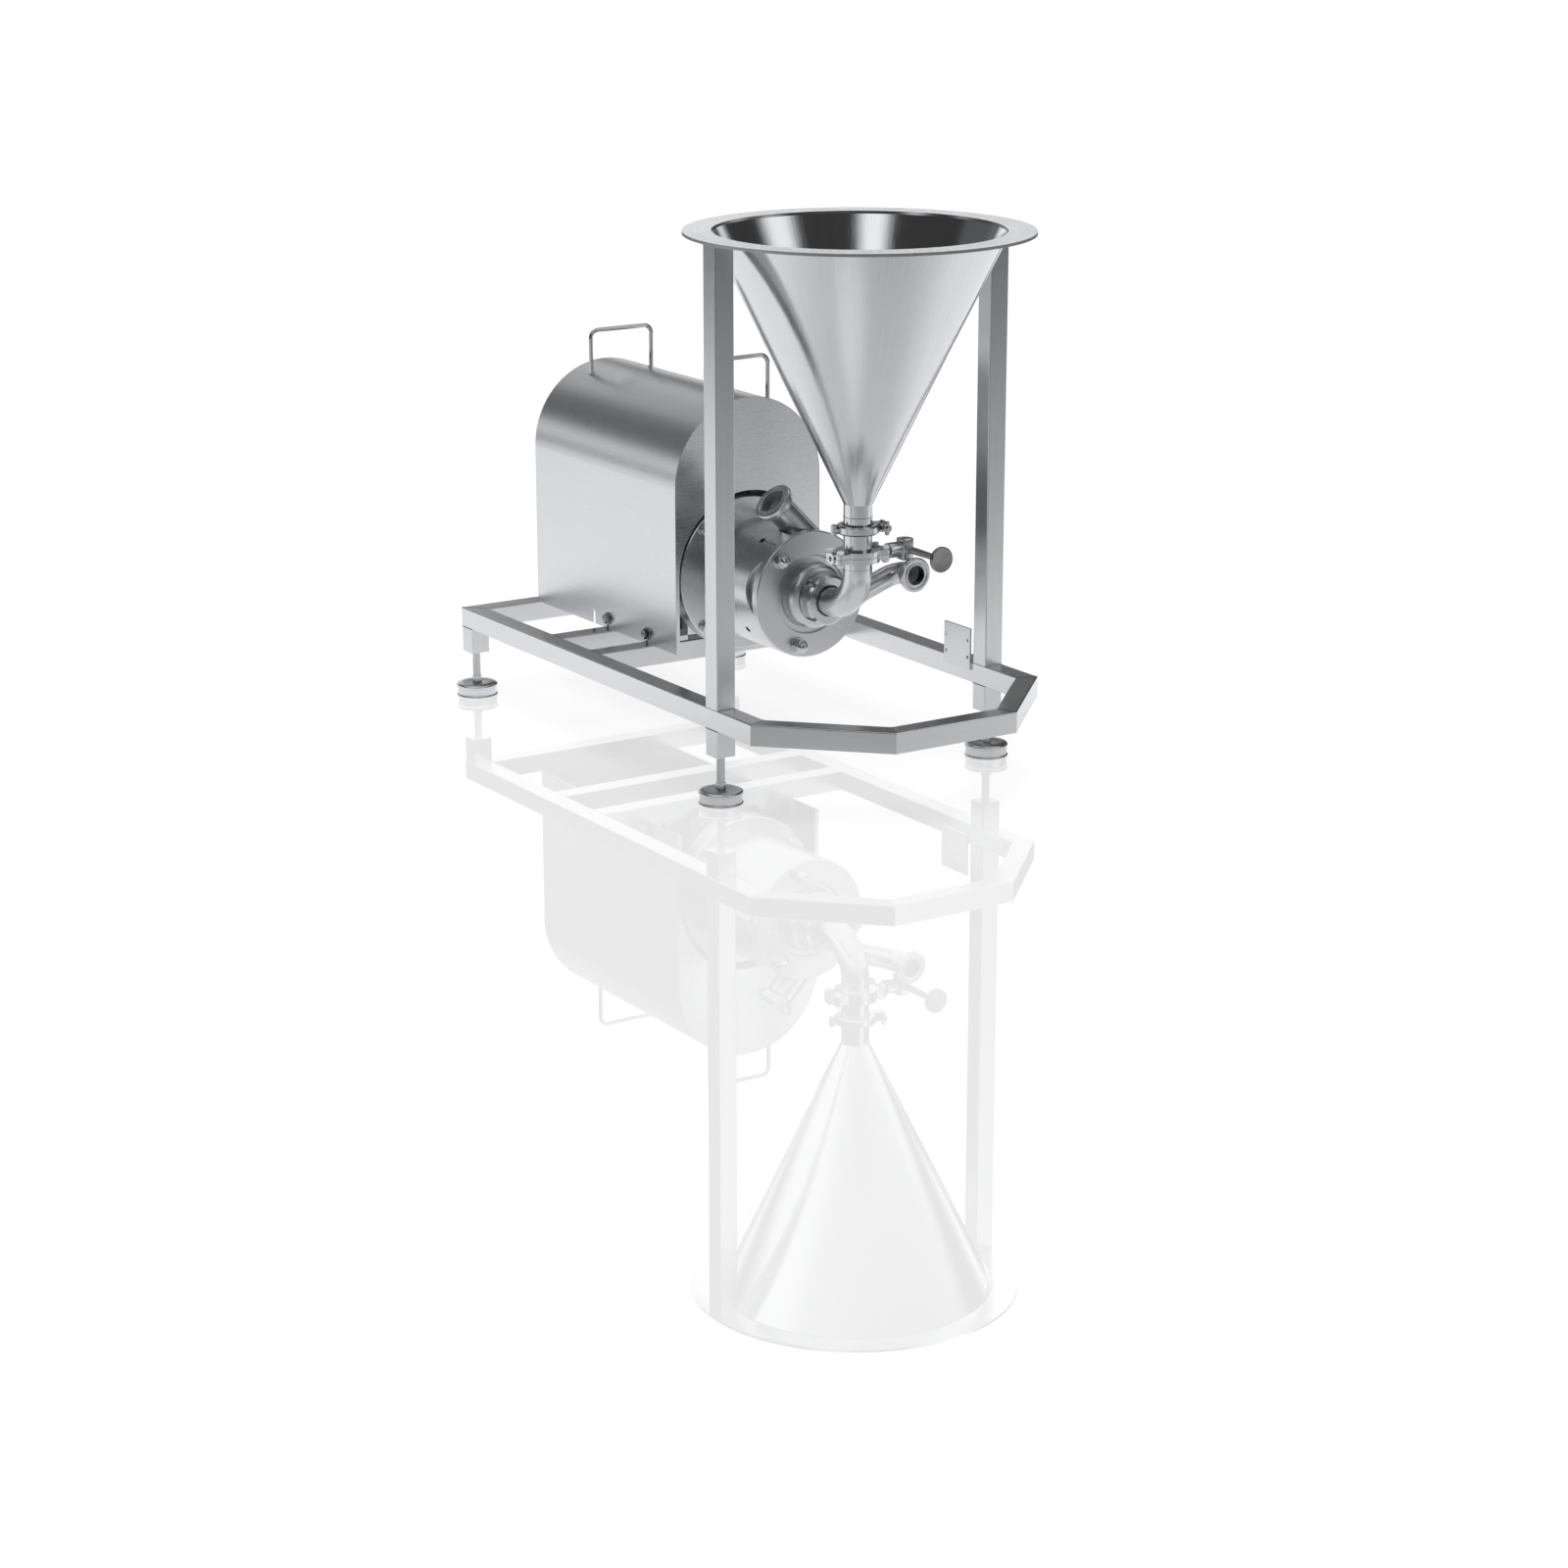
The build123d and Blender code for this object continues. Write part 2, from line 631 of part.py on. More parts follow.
def clamp_ear(near, far):
    """An ear at +X between two distances from the split, slotted so that the swing bolt can swing out."""
    half = CLAMP_DEPTH / 2
    slot = SWING_EYE_THICKNESS / 2 + CLAMP_CLEARANCE
    root = CLAMP_RADIUS - 2 * CLAMP_CHAMFER
    end = SWING_BOLT_OFFSET + SWING_EAR_MARGIN
    y_range = sorted((near, far))
    return block((root, end), y_range, (-half, half)) - block((CLAMP_RADIUS, end), y_range, (-slot, slot))


def make_clamp():
    """Two halves that hinge on a pin at -X and are drawn together by a swing bolt at +X."""
    place = Pos(0, HOPPER_Y, CLAMP_Z) * Rot(0, 0, CLAMP_TURN)
    pivot = Pos(SWING_BOLT_OFFSET, SWING_PIVOT_BACK, 0)
    half = CLAMP_DEPTH / 2
    eye_half = SWING_EYE_THICKNESS / 2
    knuckle_half = CLAMP_DEPTH / 6
    reach = CLAMP_PIN_OFFSET + CLAMP_LUG_RADIUS
    whole = clamp_ring()

    knuckle_room = knuckle_half + CLAMP_CLEARANCE
    rear = whole & block((-reach, reach), (CLAMP_GAP, reach), (-half, half))
    middle = block((-reach, -CLAMP_RADIUS), (-reach, reach), (-knuckle_room, knuckle_room))
    rear += clamp_hinge_lug(1) - middle
    rear += clamp_ear(CLAMP_GAP, SWING_PIVOT_BACK + SWING_EAR_MARGIN)
    rear -= pivot * cylinder(CLAMP_PIN_RADIUS, -half, half)
    save("clamp_rear_half", place * rear)

    nut_seat = SWING_PIVOT_BACK + CLAMP_GAP + CLAMP_EAR_THICKNESS
    front = whole & block((-reach, reach), (-reach, -CLAMP_GAP), (-half, half))
    front += clamp_hinge_lug(-1) & block((-reach, 0), (-reach, reach), (-knuckle_half, knuckle_half))
    ear = clamp_ear(-CLAMP_GAP, -CLAMP_GAP - CLAMP_EAR_THICKNESS)
    front += ear & (pivot * cylinder(nut_seat, -half, half))
    save("clamp_front_half", place * front)

    pin = cylinder(CLAMP_PIN_RADIUS, -half, half)
    pin += cylinder(CLAMP_PIN_HEAD_RADIUS, half, half + CLAMP_PIN_HEAD)
    save("clamp_pins", place * Pos(-CLAMP_PIN_OFFSET, 0, 0) * pin, place * pivot * pin)

    swing = cylinder(SWING_EYE_RADIUS, -eye_half, eye_half)
    swing += bar(SWING_BOLT_RADIUS, (0, 0, 0), (0, -SWING_BOLT_REACH, 0))
    swing -= cylinder(CLAMP_PIN_RADIUS + RUNNING_CLEARANCE, -half, half)
    save("clamp_swing_bolt", place * pivot * swing)

    nut_end = nut_seat + WING_BOSS_LENGTH
    nut = bar(WING_BOSS_RADIUS, (0, -nut_seat, 0), (0, -nut_end, 0))
    wing = block((-WING_THICKNESS / 2, WING_THICKNESS / 2), (-nut_end, -nut_seat - WING_SETBACK),
                 (-WING_SPAN / 2, WING_SPAN / 2))
    nut += fillet(wing.edges().filter_by(Axis.X), WING_ROUND)
    nut -= bar(SWING_BOLT_RADIUS, (0, 0, 0), (0, -nut_end, 0))
    save("clamp_wing_nut", place * pivot * nut)


def valve_outline():
    """Plan of a valve body half: a round middle with a square-ended lug to each side."""
    lugs = Rectangle(2 * VALVE_LUG_REACH, 2 * VALVE_LUG_HALF_WIDTH)
    lugs = fillet(lugs.vertices(), VALVE_LUG_ROUND)
    return Circle(VALVE_NECK_RADIUS) + lugs


def make_valve():
    shaft_room = VALVE_SHAFT_RADIUS + RUNNING_CLEARANCE
    seal_half = VALVE_SEAL_DEPTH / 2
    boss = bar(VALVE_BOSS_RADIUS, (-VALVE_BOSS_REACH, 0, 0), (VALVE_BOSS_REACH, 0, 0))
    shaft_hole = bar(shaft_room, (-2 * VALVE_BOSS_REACH, 0, 0), (2 * VALVE_BOSS_REACH, 0, 0))
    screw_holes = [
        place * cylinder(VALVE_SCREW_RADIUS, -2 * VALVE_HALF_DEPTH, 2 * VALVE_HALF_DEPTH)
        for place in GridLocations(2 * VALVE_SCREW_X, 2 * VALVE_SCREW_Y, 2, 2)
    ]
    pocket = cylinder(VALVE_SEAL_RADIUS, -seal_half, seal_half)
    throat = cylinder(PIPE_BORE, -2 * VALVE_HALF_DEPTH, 2 * VALVE_HALF_DEPTH)
    split = VALVE_SPLIT / 2
    flange = VALVE_HALF_DEPTH - VALVE_FLANGE_STEP
    plate = Pos(0, 0, split) * extrude(valve_outline(), flange - split)
    shoulder = cylinder(VALVE_NECK_RADIUS, split, VALVE_HALF_DEPTH)
    reach = VALVE_BOSS_REACH
    half = plate + shoulder + (boss & block((-reach, reach), (-reach, reach), (split, reach)))
    half = half - pocket - throat - shaft_hole
    for hole in screw_holes:
        half -= hole
    place = Pos(0, HOPPER_Y, VALVE_Z)

    face = CLAMP_Z - GASKET_THICKNESS / 2
    upper = place * half + on_hopper(ferrule(face, -1, VALVE_Z + VALVE_HALF_DEPTH))
    save("valve_upper_body", upper)

    bend_top = AXIS_Z + BEND_RADIUS
    lower = place * mirror(half, Plane.XY)
    lower += on_hopper(ring(PIPE_RADIUS, PIPE_BORE, bend_top, VALVE_Z - VALVE_HALF_DEPTH))
    save("valve_lower_body", lower)

    seal = ring(VALVE_SEAL_RADIUS, PIPE_BORE, -seal_half, seal_half) - shaft_hole
    save("valve_seal", place * seal)

    radius = PIPE_BORE - DISC_CLEARANCE
    disc = turned([
        (0, -DISC_THICKNESS / 2),
        (radius / 2, -DISC_THICKNESS / 2),
        (radius, -DISC_EDGE / 2),
        (radius, DISC_EDGE / 2),
        (radius / 2, DISC_THICKNESS / 2),
        (0, DISC_THICKNESS / 2),
    ])
    disc += bar(VALVE_SHAFT_RADIUS, (VALVE_SHAFT_SETBACK - VALVE_BOSS_REACH, 0, 0), (LEVER_BLOCK_END, 0, 0))
    save("valve_disc", place * disc)

    screws = []
    for spot in GridLocations(2 * VALVE_SCREW_X, 2 * VALVE_SCREW_Y, 2, 2):
        head_top = flange + VALVE_SCREW_HEAD_HEIGHT
        screw = cylinder(VALVE_SCREW_RADIUS, -head_top - VALVE_SCREW_TIP, flange)
        screw += hexagon(VALVE_SCREW_HEAD, flange, head_top)
        screw += hexagon(VALVE_SCREW_HEAD, -head_top, -flange)
        screws.append(place * spot * screw)
    save("valve_screws", *screws)

    hub = bar(HUB_RADIUS, (HUB_START, 0, 0), (HUB_END, 0, 0))
    head = block((LEVER_BLOCK_START, LEVER_BLOCK_END), (-LEVER_BLOCK_DEPTH / 2, LEVER_BLOCK_DEPTH / 2),
                 (-LEVER_BLOCK_HEIGHT / 2, LEVER_BLOCK_HEIGHT / 2))
    head = fillet(head.edges().filter_by(Axis.X), LEVER_BLOCK_ROUND)
    lever_x = (LEVER_BLOCK_START + LEVER_BLOCK_END) / 2
    tip = -LEVER_LENGTH
    arm = Cone(LEVER_ARM_RADIUS, LEVER_ARM_TIP_RADIUS, LEVER_LENGTH)
    arm = Plane((lever_x, tip / 2, 0), z_dir=(0, -1, 0)).location * arm
    knob = bar(KNOB_RADIUS, (lever_x, tip, 0), (lever_x, tip - KNOB_THICKNESS, 0))
    knob = fillet(knob.edges().filter_by(GeomType.CIRCLE), KNOB_ROUND)
    neck = bar(HUB_NECK_RADIUS, (HUB_END, 0, 0), (LEVER_BLOCK_START, 0, 0))
    lever = hub + neck + head + arm + knob
    lever -= bar(VALVE_SHAFT_RADIUS, (0, 0, 0), (2 * LEVER_BLOCK_END, 0, 0))
    save("valve_lever", place * lever)


def branch_path():
    """Centre line of the liquid branch: up to the right from the bend, then forward to its end."""
    y = ahead(BRANCH_AT)
    z = DECK_Z + BRANCH_HEIGHT
    rise = BRANCH_REACH * math.tan(math.radians(BRANCH_RISE))
    corner = (BRANCH_REACH, y, z + rise)
    end = (BRANCH_REACH, y - BRANCH_BEND_RADIUS - BRANCH_END_STRAIGHT, z + rise)
    return (0, y, z), corner, end


def suction_bend(radius):
    """The bend and its straight end, as one full body."""
    centre = (0, ahead(HOPPER_AT) + BEND_RADIUS, AXIS_Z + BEND_RADIUS)
    section = Plane((0, HOPPER_Y, AXIS_Z + BEND_RADIUS), z_dir=(0, 0, 1)) * Circle(radius)
    bend = revolve(section, Axis(centre, (1, 0, 0)), 90)
    start = HOPPER_AT - BEND_RADIUS
    return bend + on_drive(cylinder(radius, start - SUCTION_STRAIGHT, start))


def branch_body(radius):
    """The liquid branch as a full body, from the bend's middle to its front end."""
    points = branch_path()
    run = (Vector(*points[1]) - Vector(*points[0])).normalized()
    path = FilletPolyline(*points, radius=BRANCH_BEND_RADIUS)
    return sweep(Plane(points[0], z_dir=run) * Circle(radius), path)


def screwed_end(face, way, pipe, pipe_bore, thread, length):
    """A screwed pipe end: way is the direction from its face back to the pipe along Z."""
    return turned([
        (pipe_bore, face),
        (thread - THREAD_CHAMFER, face),
        (thread, face + way * THREAD_CHAMFER),
        (thread, face + way * length),
        (pipe + THREAD_SHOULDER, face + way * (length + THREAD_SHOULDER / 2)),
        (pipe, face + way * (length + THREAD_NECK)),
        (pipe_bore, face + way * (length + THREAD_NECK)),
    ])


def make_suction():
    full_bend = suction_bend(PIPE_RADIUS)
    waterway = branch_body(BRANCH_BORE)
    branch = branch_body(BRANCH_RADIUS) - waterway - full_bend
    save("liquid_branch", branch)

    elbow = full_bend - suction_bend(PIPE_BORE) - waterway
    liner_face = SUCTION_THREAD_END + SUCTION_SEAL_THICKNESS
    elbow += on_drive(turned([
        (PIPE_BORE, liner_face),
        (LINER_RADIUS, liner_face),
        (LINER_RADIUS, liner_face + LINER_DEPTH - LINER_TAPER),
        (PIPE_RADIUS, liner_face + LINER_DEPTH),
        (PIPE_BORE, liner_face + LINER_DEPTH),
    ]))
    save("suction_elbow", elbow)

    corner = Vector(*branch_path()[1])
    pipe_end = corner.Y - BRANCH_BEND_RADIUS - BRANCH_END_STRAIGHT
    length = THREAD_NECK + INLET_THREAD_LENGTH
    liner = screwed_end(0, 1, BRANCH_RADIUS, BRANCH_BORE, INLET_THREAD_RADIUS, INLET_THREAD_LENGTH)
    liner = Pos(corner.X, pipe_end - length, corner.Z) * Rot(-90, 0, 0) * liner
    save("liquid_inlet_end", liner)

    seal = ring(LINER_RADIUS - GASKET_MARGIN, PIPE_BORE, SUCTION_THREAD_END, liner_face)
    save("suction_seal", on_drive(seal))

    front = liner_face + LINER_DEPTH + UNION_LIP
    back = front - UNION_LENGTH
    room = LINER_RADIUS + CLAMP_CLEARANCE
    union = turned([
        (SUCTION_THREAD_RADIUS + CLAMP_CLEARANCE, back),
        (UNION_RADIUS, back),
        (UNION_RADIUS, front - UNION_CHAMFER),
        (UNION_RADIUS - UNION_CHAMFER, front),
        (PIPE_RADIUS + UNION_BORE_CLEARANCE, front),
        (PIPE_RADIUS + UNION_BORE_CLEARANCE, liner_face + LINER_DEPTH),
        (room, liner_face + LINER_DEPTH - LINER_TAPER),
        (room, liner_face),
        (SUCTION_THREAD_RADIUS + CLAMP_CLEARANCE, liner_face),
    ])
    for turn in range(UNION_SLOTS):
        notch = block((UNION_RADIUS - UNION_SLOT_DEPTH, 2 * UNION_RADIUS),
                      (-UNION_SLOT_WIDTH / 2, UNION_SLOT_WIDTH / 2), (back, front))
        union -= Rot(0, 0, UNION_SLOT_FIRST + 360 * turn / UNION_SLOTS) * notch
    save("suction_union_nut", on_drive(union))


def circle_edges(solid, radius, height):
    """The circular edges of a turned solid that have this radius and lie at this height."""
    circles = solid.edges().filter_by(GeomType.CIRCLE)
    return [edge for edge in circles if math.isclose(edge.radius, radius, abs_tol=TOLERANCE)
            and math.isclose(edge.arc_center.Z, height, abs_tol=TOLERANCE)]


def cover_seal_ring(start, end):
    """The ring between two stations that lies between the casing's mouth and the studs."""
    middle = (CASING_MOUTH_RADIUS + STUD_CIRCLE_RADIUS - STUD_RADIUS) / 2
    return ring(middle + COVER_SEAL_WIDTH / 2, middle - COVER_SEAL_WIDTH / 2, start, end)


def make_cover():
    """The pump's front cover: a recessed plate with a rounded hub that ends in the suction thread."""
    recess_inner = COVER_RECESS_RADIUS - COVER_RECESS_WIDTH
    back = COVER_AT - COVER_THICKNESS
    inside = back - COVER_SPIGOT
    dome_end = COVER_AT + COVER_DOME_LENGTH
    bowl = COVER_DOME_RADIUS - COVER_DOME_WALL
    spigot = CASING_MOUTH_RADIUS - FIT_CLEARANCE
    cover = turned([
        (bowl, inside),
        (spigot, inside),
        (spigot, back),
        (COVER_RADIUS, back),
        (COVER_RADIUS, COVER_AT - COVER_CHAMFER),
        (COVER_RADIUS - COVER_CHAMFER, COVER_AT),
        (COVER_RECESS_RADIUS, COVER_AT),
        (COVER_RECESS_RADIUS - COVER_RECESS_TAPER, COVER_AT - COVER_RECESS_DEPTH),
        (recess_inner, COVER_AT - COVER_RECESS_DEPTH),
        (COVER_DOME_RADIUS, COVER_AT),
        (COVER_DOME_RADIUS, dome_end),
        (SUCTION_THREAD_RADIUS, dome_end),
        (SUCTION_THREAD_RADIUS, SUCTION_THREAD_END),
        (PIPE_BORE, SUCTION_THREAD_END),
        (PIPE_BORE, dome_end - COVER_DOME_WALL),
        (bowl, dome_end - COVER_DOME_WALL),
    ])
    hub_edges = [
        (COVER_DOME_RADIUS, dome_end, COVER_DOME_ROUND),
        (bowl, dome_end - COVER_DOME_WALL, COVER_BOWL_ROUND),
    ]
    for radius, height, rounding in hub_edges:
        cover = fillet(circle_edges(cover, radius, height), rounding)
    for angle in STUD_ANGLES:
        hole = cylinder(STUD_RADIUS + STUD_CLEARANCE, inside, COVER_AT)
        cover -= Rot(0, 0, angle) * Pos(STUD_CIRCLE_RADIUS, 0, 0) * hole
    save("pump_cover", on_drive(cover))

    save("cover_seal", on_drive(cover_seal_ring(back - COVER_SEAL_DEPTH, back)))

    nuts = []
    for angle in STUD_ANGLES:
        washer_top = COVER_AT + CAP_WASHER_THICKNESS
        hex_top = washer_top + CAP_NUT_HEX_HEIGHT
        washer = ring(CAP_WASHER_RADIUS, STUD_RADIUS + STUD_CLEARANCE, COVER_AT, washer_top)
        dome = Sphere(CAP_NUT_DOME_RADIUS) & cylinder(CAP_NUT_DOME_RADIUS, 0, CAP_NUT_DOME_RADIUS)
        nut = hexagon(CAP_NUT_HEX, washer_top, hex_top) + Pos(0, 0, hex_top) * dome
        nut -= cylinder(STUD_RADIUS, washer_top, hex_top)
        place = Rot(0, 0, angle) * Pos(STUD_CIRCLE_RADIUS, 0, 0)
        nuts += [place * washer, place * nut]
    save("cover_nuts", *[on_drive(nut) for nut in nuts])


def outlet_place():
    """A frame whose Z runs along the outlet pipe, from the point where it touches the casing's circle."""
    offset = CASING_RADIUS - PIPE_RADIUS
    angle = math.radians(OUTLET_ANGLE)
    foot = (offset * math.cos(angle), offset * math.sin(angle), OUTLET_AT)
    return Plane(foot, x_dir=(0, 0, 1), z_dir=(-math.sin(angle), math.cos(angle), 0)).location


def make_casing():
    back = CASING_BACK_AT + CASING_WALL
    front = COVER_AT - COVER_THICKNESS
    end_length = THREAD_NECK + OUTLET_THREAD_LENGTH
    chamber = cylinder(CASING_RADIUS - CASING_WALL, back, front - CASING_RING)
    casing = cylinder(CASING_RADIUS, CASING_BACK_AT, front)
    casing += cylinder(COVER_RADIUS, front - CASING_FLANGE, front)
    casing += outlet_place() * cylinder(PIPE_RADIUS, 0, OUTLET_REACH - end_length)
    casing -= chamber + cylinder(CASING_MOUTH_RADIUS, back, front)
    casing -= outlet_place() * cylinder(OUTLET_CAST_BORE, 0, OUTLET_REACH)
    casing -= cylinder(SEAL_BORE_RADIUS, CASING_BACK_AT, back)
    casing -= cover_seal_ring(front - COVER_SEAL_DEPTH, front)
    stud_top = COVER_AT + CAP_WASHER_THICKNESS + CAP_NUT_HEX_HEIGHT
    for angle in STUD_ANGLES:
        stud = cylinder(STUD_RADIUS, front - CASING_RING / 2, stud_top)
        casing += Rot(0, 0, angle) * Pos(STUD_CIRCLE_RADIUS, 0, 0) * stud
    save("pump_casing", on_drive(casing))

    end = screwed_end(OUTLET_REACH, -1, PIPE_RADIUS, PIPE_BORE, OUTLET_THREAD_RADIUS, OUTLET_THREAD_LENGTH)
    save("outlet_end", on_drive(outlet_place() * end))

    seat_back = CASING_BACK_AT - SEAL_SEAT_SHOULDER
    seat_bore = PUMP_SHAFT_RADIUS + SEAL_SEAT_CLEARANCE
    seat = turned([
        (seat_bore, seat_back),
        (SEAL_SEAT_RADIUS, seat_back),
        (SEAL_SEAT_RADIUS, CASING_BACK_AT),
        (SEAL_BORE_RADIUS, CASING_BACK_AT),
        (SEAL_BORE_RADIUS, back),
        (seat_bore, back),
    ])
    save("shaft_seal_seat", on_drive(seat))
    seal_front = seat_back - SEAL_FACE_GAP
    seal_ring = ring(SEAL_RING_RADIUS, PUMP_SHAFT_RADIUS, seal_front - SEAL_RING_LENGTH, seal_front)
    save("shaft_seal_ring", on_drive(seal_ring))


def make_impeller():
    """Open impeller: a back plate, a rounded hub and curved vanes that get narrower towards the tip."""
    start = CASING_BACK_AT + CASING_WALL + IMPELLER_GAP
    plate_front = start + IMPELLER_PLATE
    hub_front = start + IMPELLER_HUB_LENGTH
    hub = cylinder(IMPELLER_HUB_RADIUS, start, hub_front)
    hub = fillet(circle_edges(hub, IMPELLER_HUB_RADIUS, hub_front), IMPELLER_HUB_ROUND)
    envelope = turned([
        (0, start),
        (IMPELLER_RADIUS, start),
        (IMPELLER_RADIUS, start + VANE_TIP_WIDTH),
        (IMPELLER_HUB_RADIUS, start + IMPELLER_WIDTH),
        (0, start + IMPELLER_WIDTH),
    ])
    arc = Circle(VANE_ARC_RADIUS + VANE_THICKNESS / 2) - Circle(VANE_ARC_RADIUS - VANE_THICKNESS / 2)
    lead = VANE_ARC_RADIUS + VANE_THICKNESS / 2
    vane = extrude(Pos(IMPELLER_HUB_RADIUS / 2, -VANE_ARC_RADIUS) * arc, IMPELLER_WIDTH)
    vane &= block((0, 2 * lead), (-lead, lead), (0, IMPELLER_WIDTH))
    impeller = cylinder(IMPELLER_RADIUS, start, plate_front) + hub
    for turn in range(IMPELLER_VANES):
        placed = Rot(0, 0, 360 * turn / IMPELLER_VANES) * Pos(0, 0, start) * vane
        impeller += placed & envelope
    impeller -= cylinder(IMPELLER_BORE, start, start + IMPELLER_BORE_DEPTH)
    save("impeller", on_drive(impeller))

    sleeve_back = MOTOR_FACE_AT + SHAFT_SLEEVE_GAP
    motor_shaft_end = MOTOR_FACE_AT + MOTOR_SHAFT_LENGTH
    shaft = cylinder(SHAFT_SLEEVE_RADIUS, sleeve_back, SHAFT_SLEEVE_END)
    shaft += cylinder(PUMP_SHAFT_RADIUS, SHAFT_SLEEVE_END, start)
    shaft += cylinder(IMPELLER_BORE, start, start + IMPELLER_BORE_DEPTH)
    shaft -= cylinder(MOTOR_SHAFT_RADIUS, sleeve_back, motor_shaft_end)
    save("pump_shaft", on_drive(shaft))


def make_lantern():
    """The drum between motor and pump, with the seat for the casing and its notches."""
    flange_front = MOTOR_FACE_AT + LANTERN_FLANGE
    front = COVER_AT - COVER_THICKNESS - CASING_FLANGE
    seat = CASING_RADIUS + FIT_CLEARANCE
    web_back = CASING_BACK_AT - LANTERN_WEB
    lantern = turned([
        (LANTERN_SPIGOT_RADIUS, MOTOR_FACE_AT),
        (FLANGE_RADIUS, MOTOR_FACE_AT),
        (FLANGE_RADIUS, flange_front - LANTERN_FLANGE_CHAMFER),
        (FLANGE_RADIUS - LANTERN_FLANGE_CHAMFER, flange_front),
        (LANTERN_RADIUS, flange_front),
        (LANTERN_RADIUS, front),
        (seat, front),
        (seat, CASING_BACK_AT),
        (LANTERN_WEB_BORE, CASING_BACK_AT),
        (LANTERN_WEB_BORE, web_back),
        (LANTERN_SPIGOT_RADIUS, web_back),
    ])
    room = PIPE_RADIUS + NOTCH_CLEARANCE
    length = 2 * LANTERN_RADIUS
    notch = cylinder(room, 0, length) + block((0, length), (-room, length), (0, length))
    lantern -= outlet_place() * notch
    scoop_at = front - SCOOP_DEPTH + SCOOP_RADIUS
    scoop = bar(SCOOP_RADIUS, (CASING_MOUTH_RADIUS, 0, scoop_at), (length, 0, scoop_at))
    lantern -= Rot(0, 0, SCOOP_ANGLE) * scoop
    screws = []
    for turn in range(LANTERN_HOLES):
        place = Rot(0, 0, LANTERN_HOLE_FIRST + 360 * turn / LANTERN_HOLES)
        start = (CASING_MOUTH_RADIUS, 0, LANTERN_HOLE_AT)
        lantern -= place * bar(LANTERN_HOLE_RADIUS, start, (length, 0, LANTERN_HOLE_AT))
        head = LANTERN_RADIUS - SET_SCREW_SINK
        screw = bar(LANTERN_HOLE_RADIUS, (CASING_RADIUS, 0, LANTERN_HOLE_AT), (head, 0, LANTERN_HOLE_AT))
        screw &= ring(length, CASING_RADIUS, CASING_BACK_AT, front)
        socket = Pos(head - SET_SCREW_SOCKET_DEPTH, 0, LANTERN_HOLE_AT) * Rot(0, 90, 0)
        screw -= socket * hexagon(SET_SCREW_SOCKET, 0, SET_SCREW_SOCKET_DEPTH)
        screws.append(on_drive(place * screw))
    slit_half = LANTERN_SLIT / 2
    slit = block((CASING_MOUTH_RADIUS, length), (-slit_half, slit_half), (LANTERN_HOLE_AT, front))
    lantern -= Rot(0, 0, LANTERN_HOLE_FIRST) * slit
    for place in flange_bolt_places():
        lantern -= place * cylinder(FLANGE_BOLT_RADIUS, MOTOR_FACE_AT, flange_front)
    save("pump_lantern", on_drive(lantern))
    save("casing_set_screws", *screws)

    bolts = []
    for place in flange_bolt_places():
        washer_front = flange_front + FLANGE_WASHER_THICKNESS
        bolt = cylinder(FLANGE_BOLT_RADIUS, MOTOR_FACE_AT - MOTOR_FLANGE, washer_front)
        bolt += hexagon(FLANGE_BOLT_HEX, washer_front, washer_front + FLANGE_BOLT_HEAD)
        washer = ring(FLANGE_WASHER_RADIUS, FLANGE_BOLT_RADIUS, flange_front, washer_front)
        bolts += [on_drive(place * bolt), on_drive(place * washer)]
    save("flange_bolts", *bolts)


def flange_bolt_places():
    """The four places on the bolt circle of the motor flange."""
    angles = [FLANGE_BOLT_FIRST + 90 * turn for turn in range(4)]
    return [Rot(0, 0, angle) * Pos(FLANGE_BOLT_CIRCLE_RADIUS, 0, 0) for angle in angles]


def foot_hole_places():
    """The four places of the motor's foot bolts, at the level of the deck."""
    middle = (REAR_CROSSBAR_AT + FRONT_CROSSBAR_AT) / 2
    stations = (middle - FOOT_HOLE_SPACING / 2, middle + FOOT_HOLE_SPACING / 2)
    spots = [(side * FOOT_HOLE_X, ahead(station)) for station in stations for side in SIDES.values()]
    return [Pos(x, y, DECK_Z) for x, y in spots]


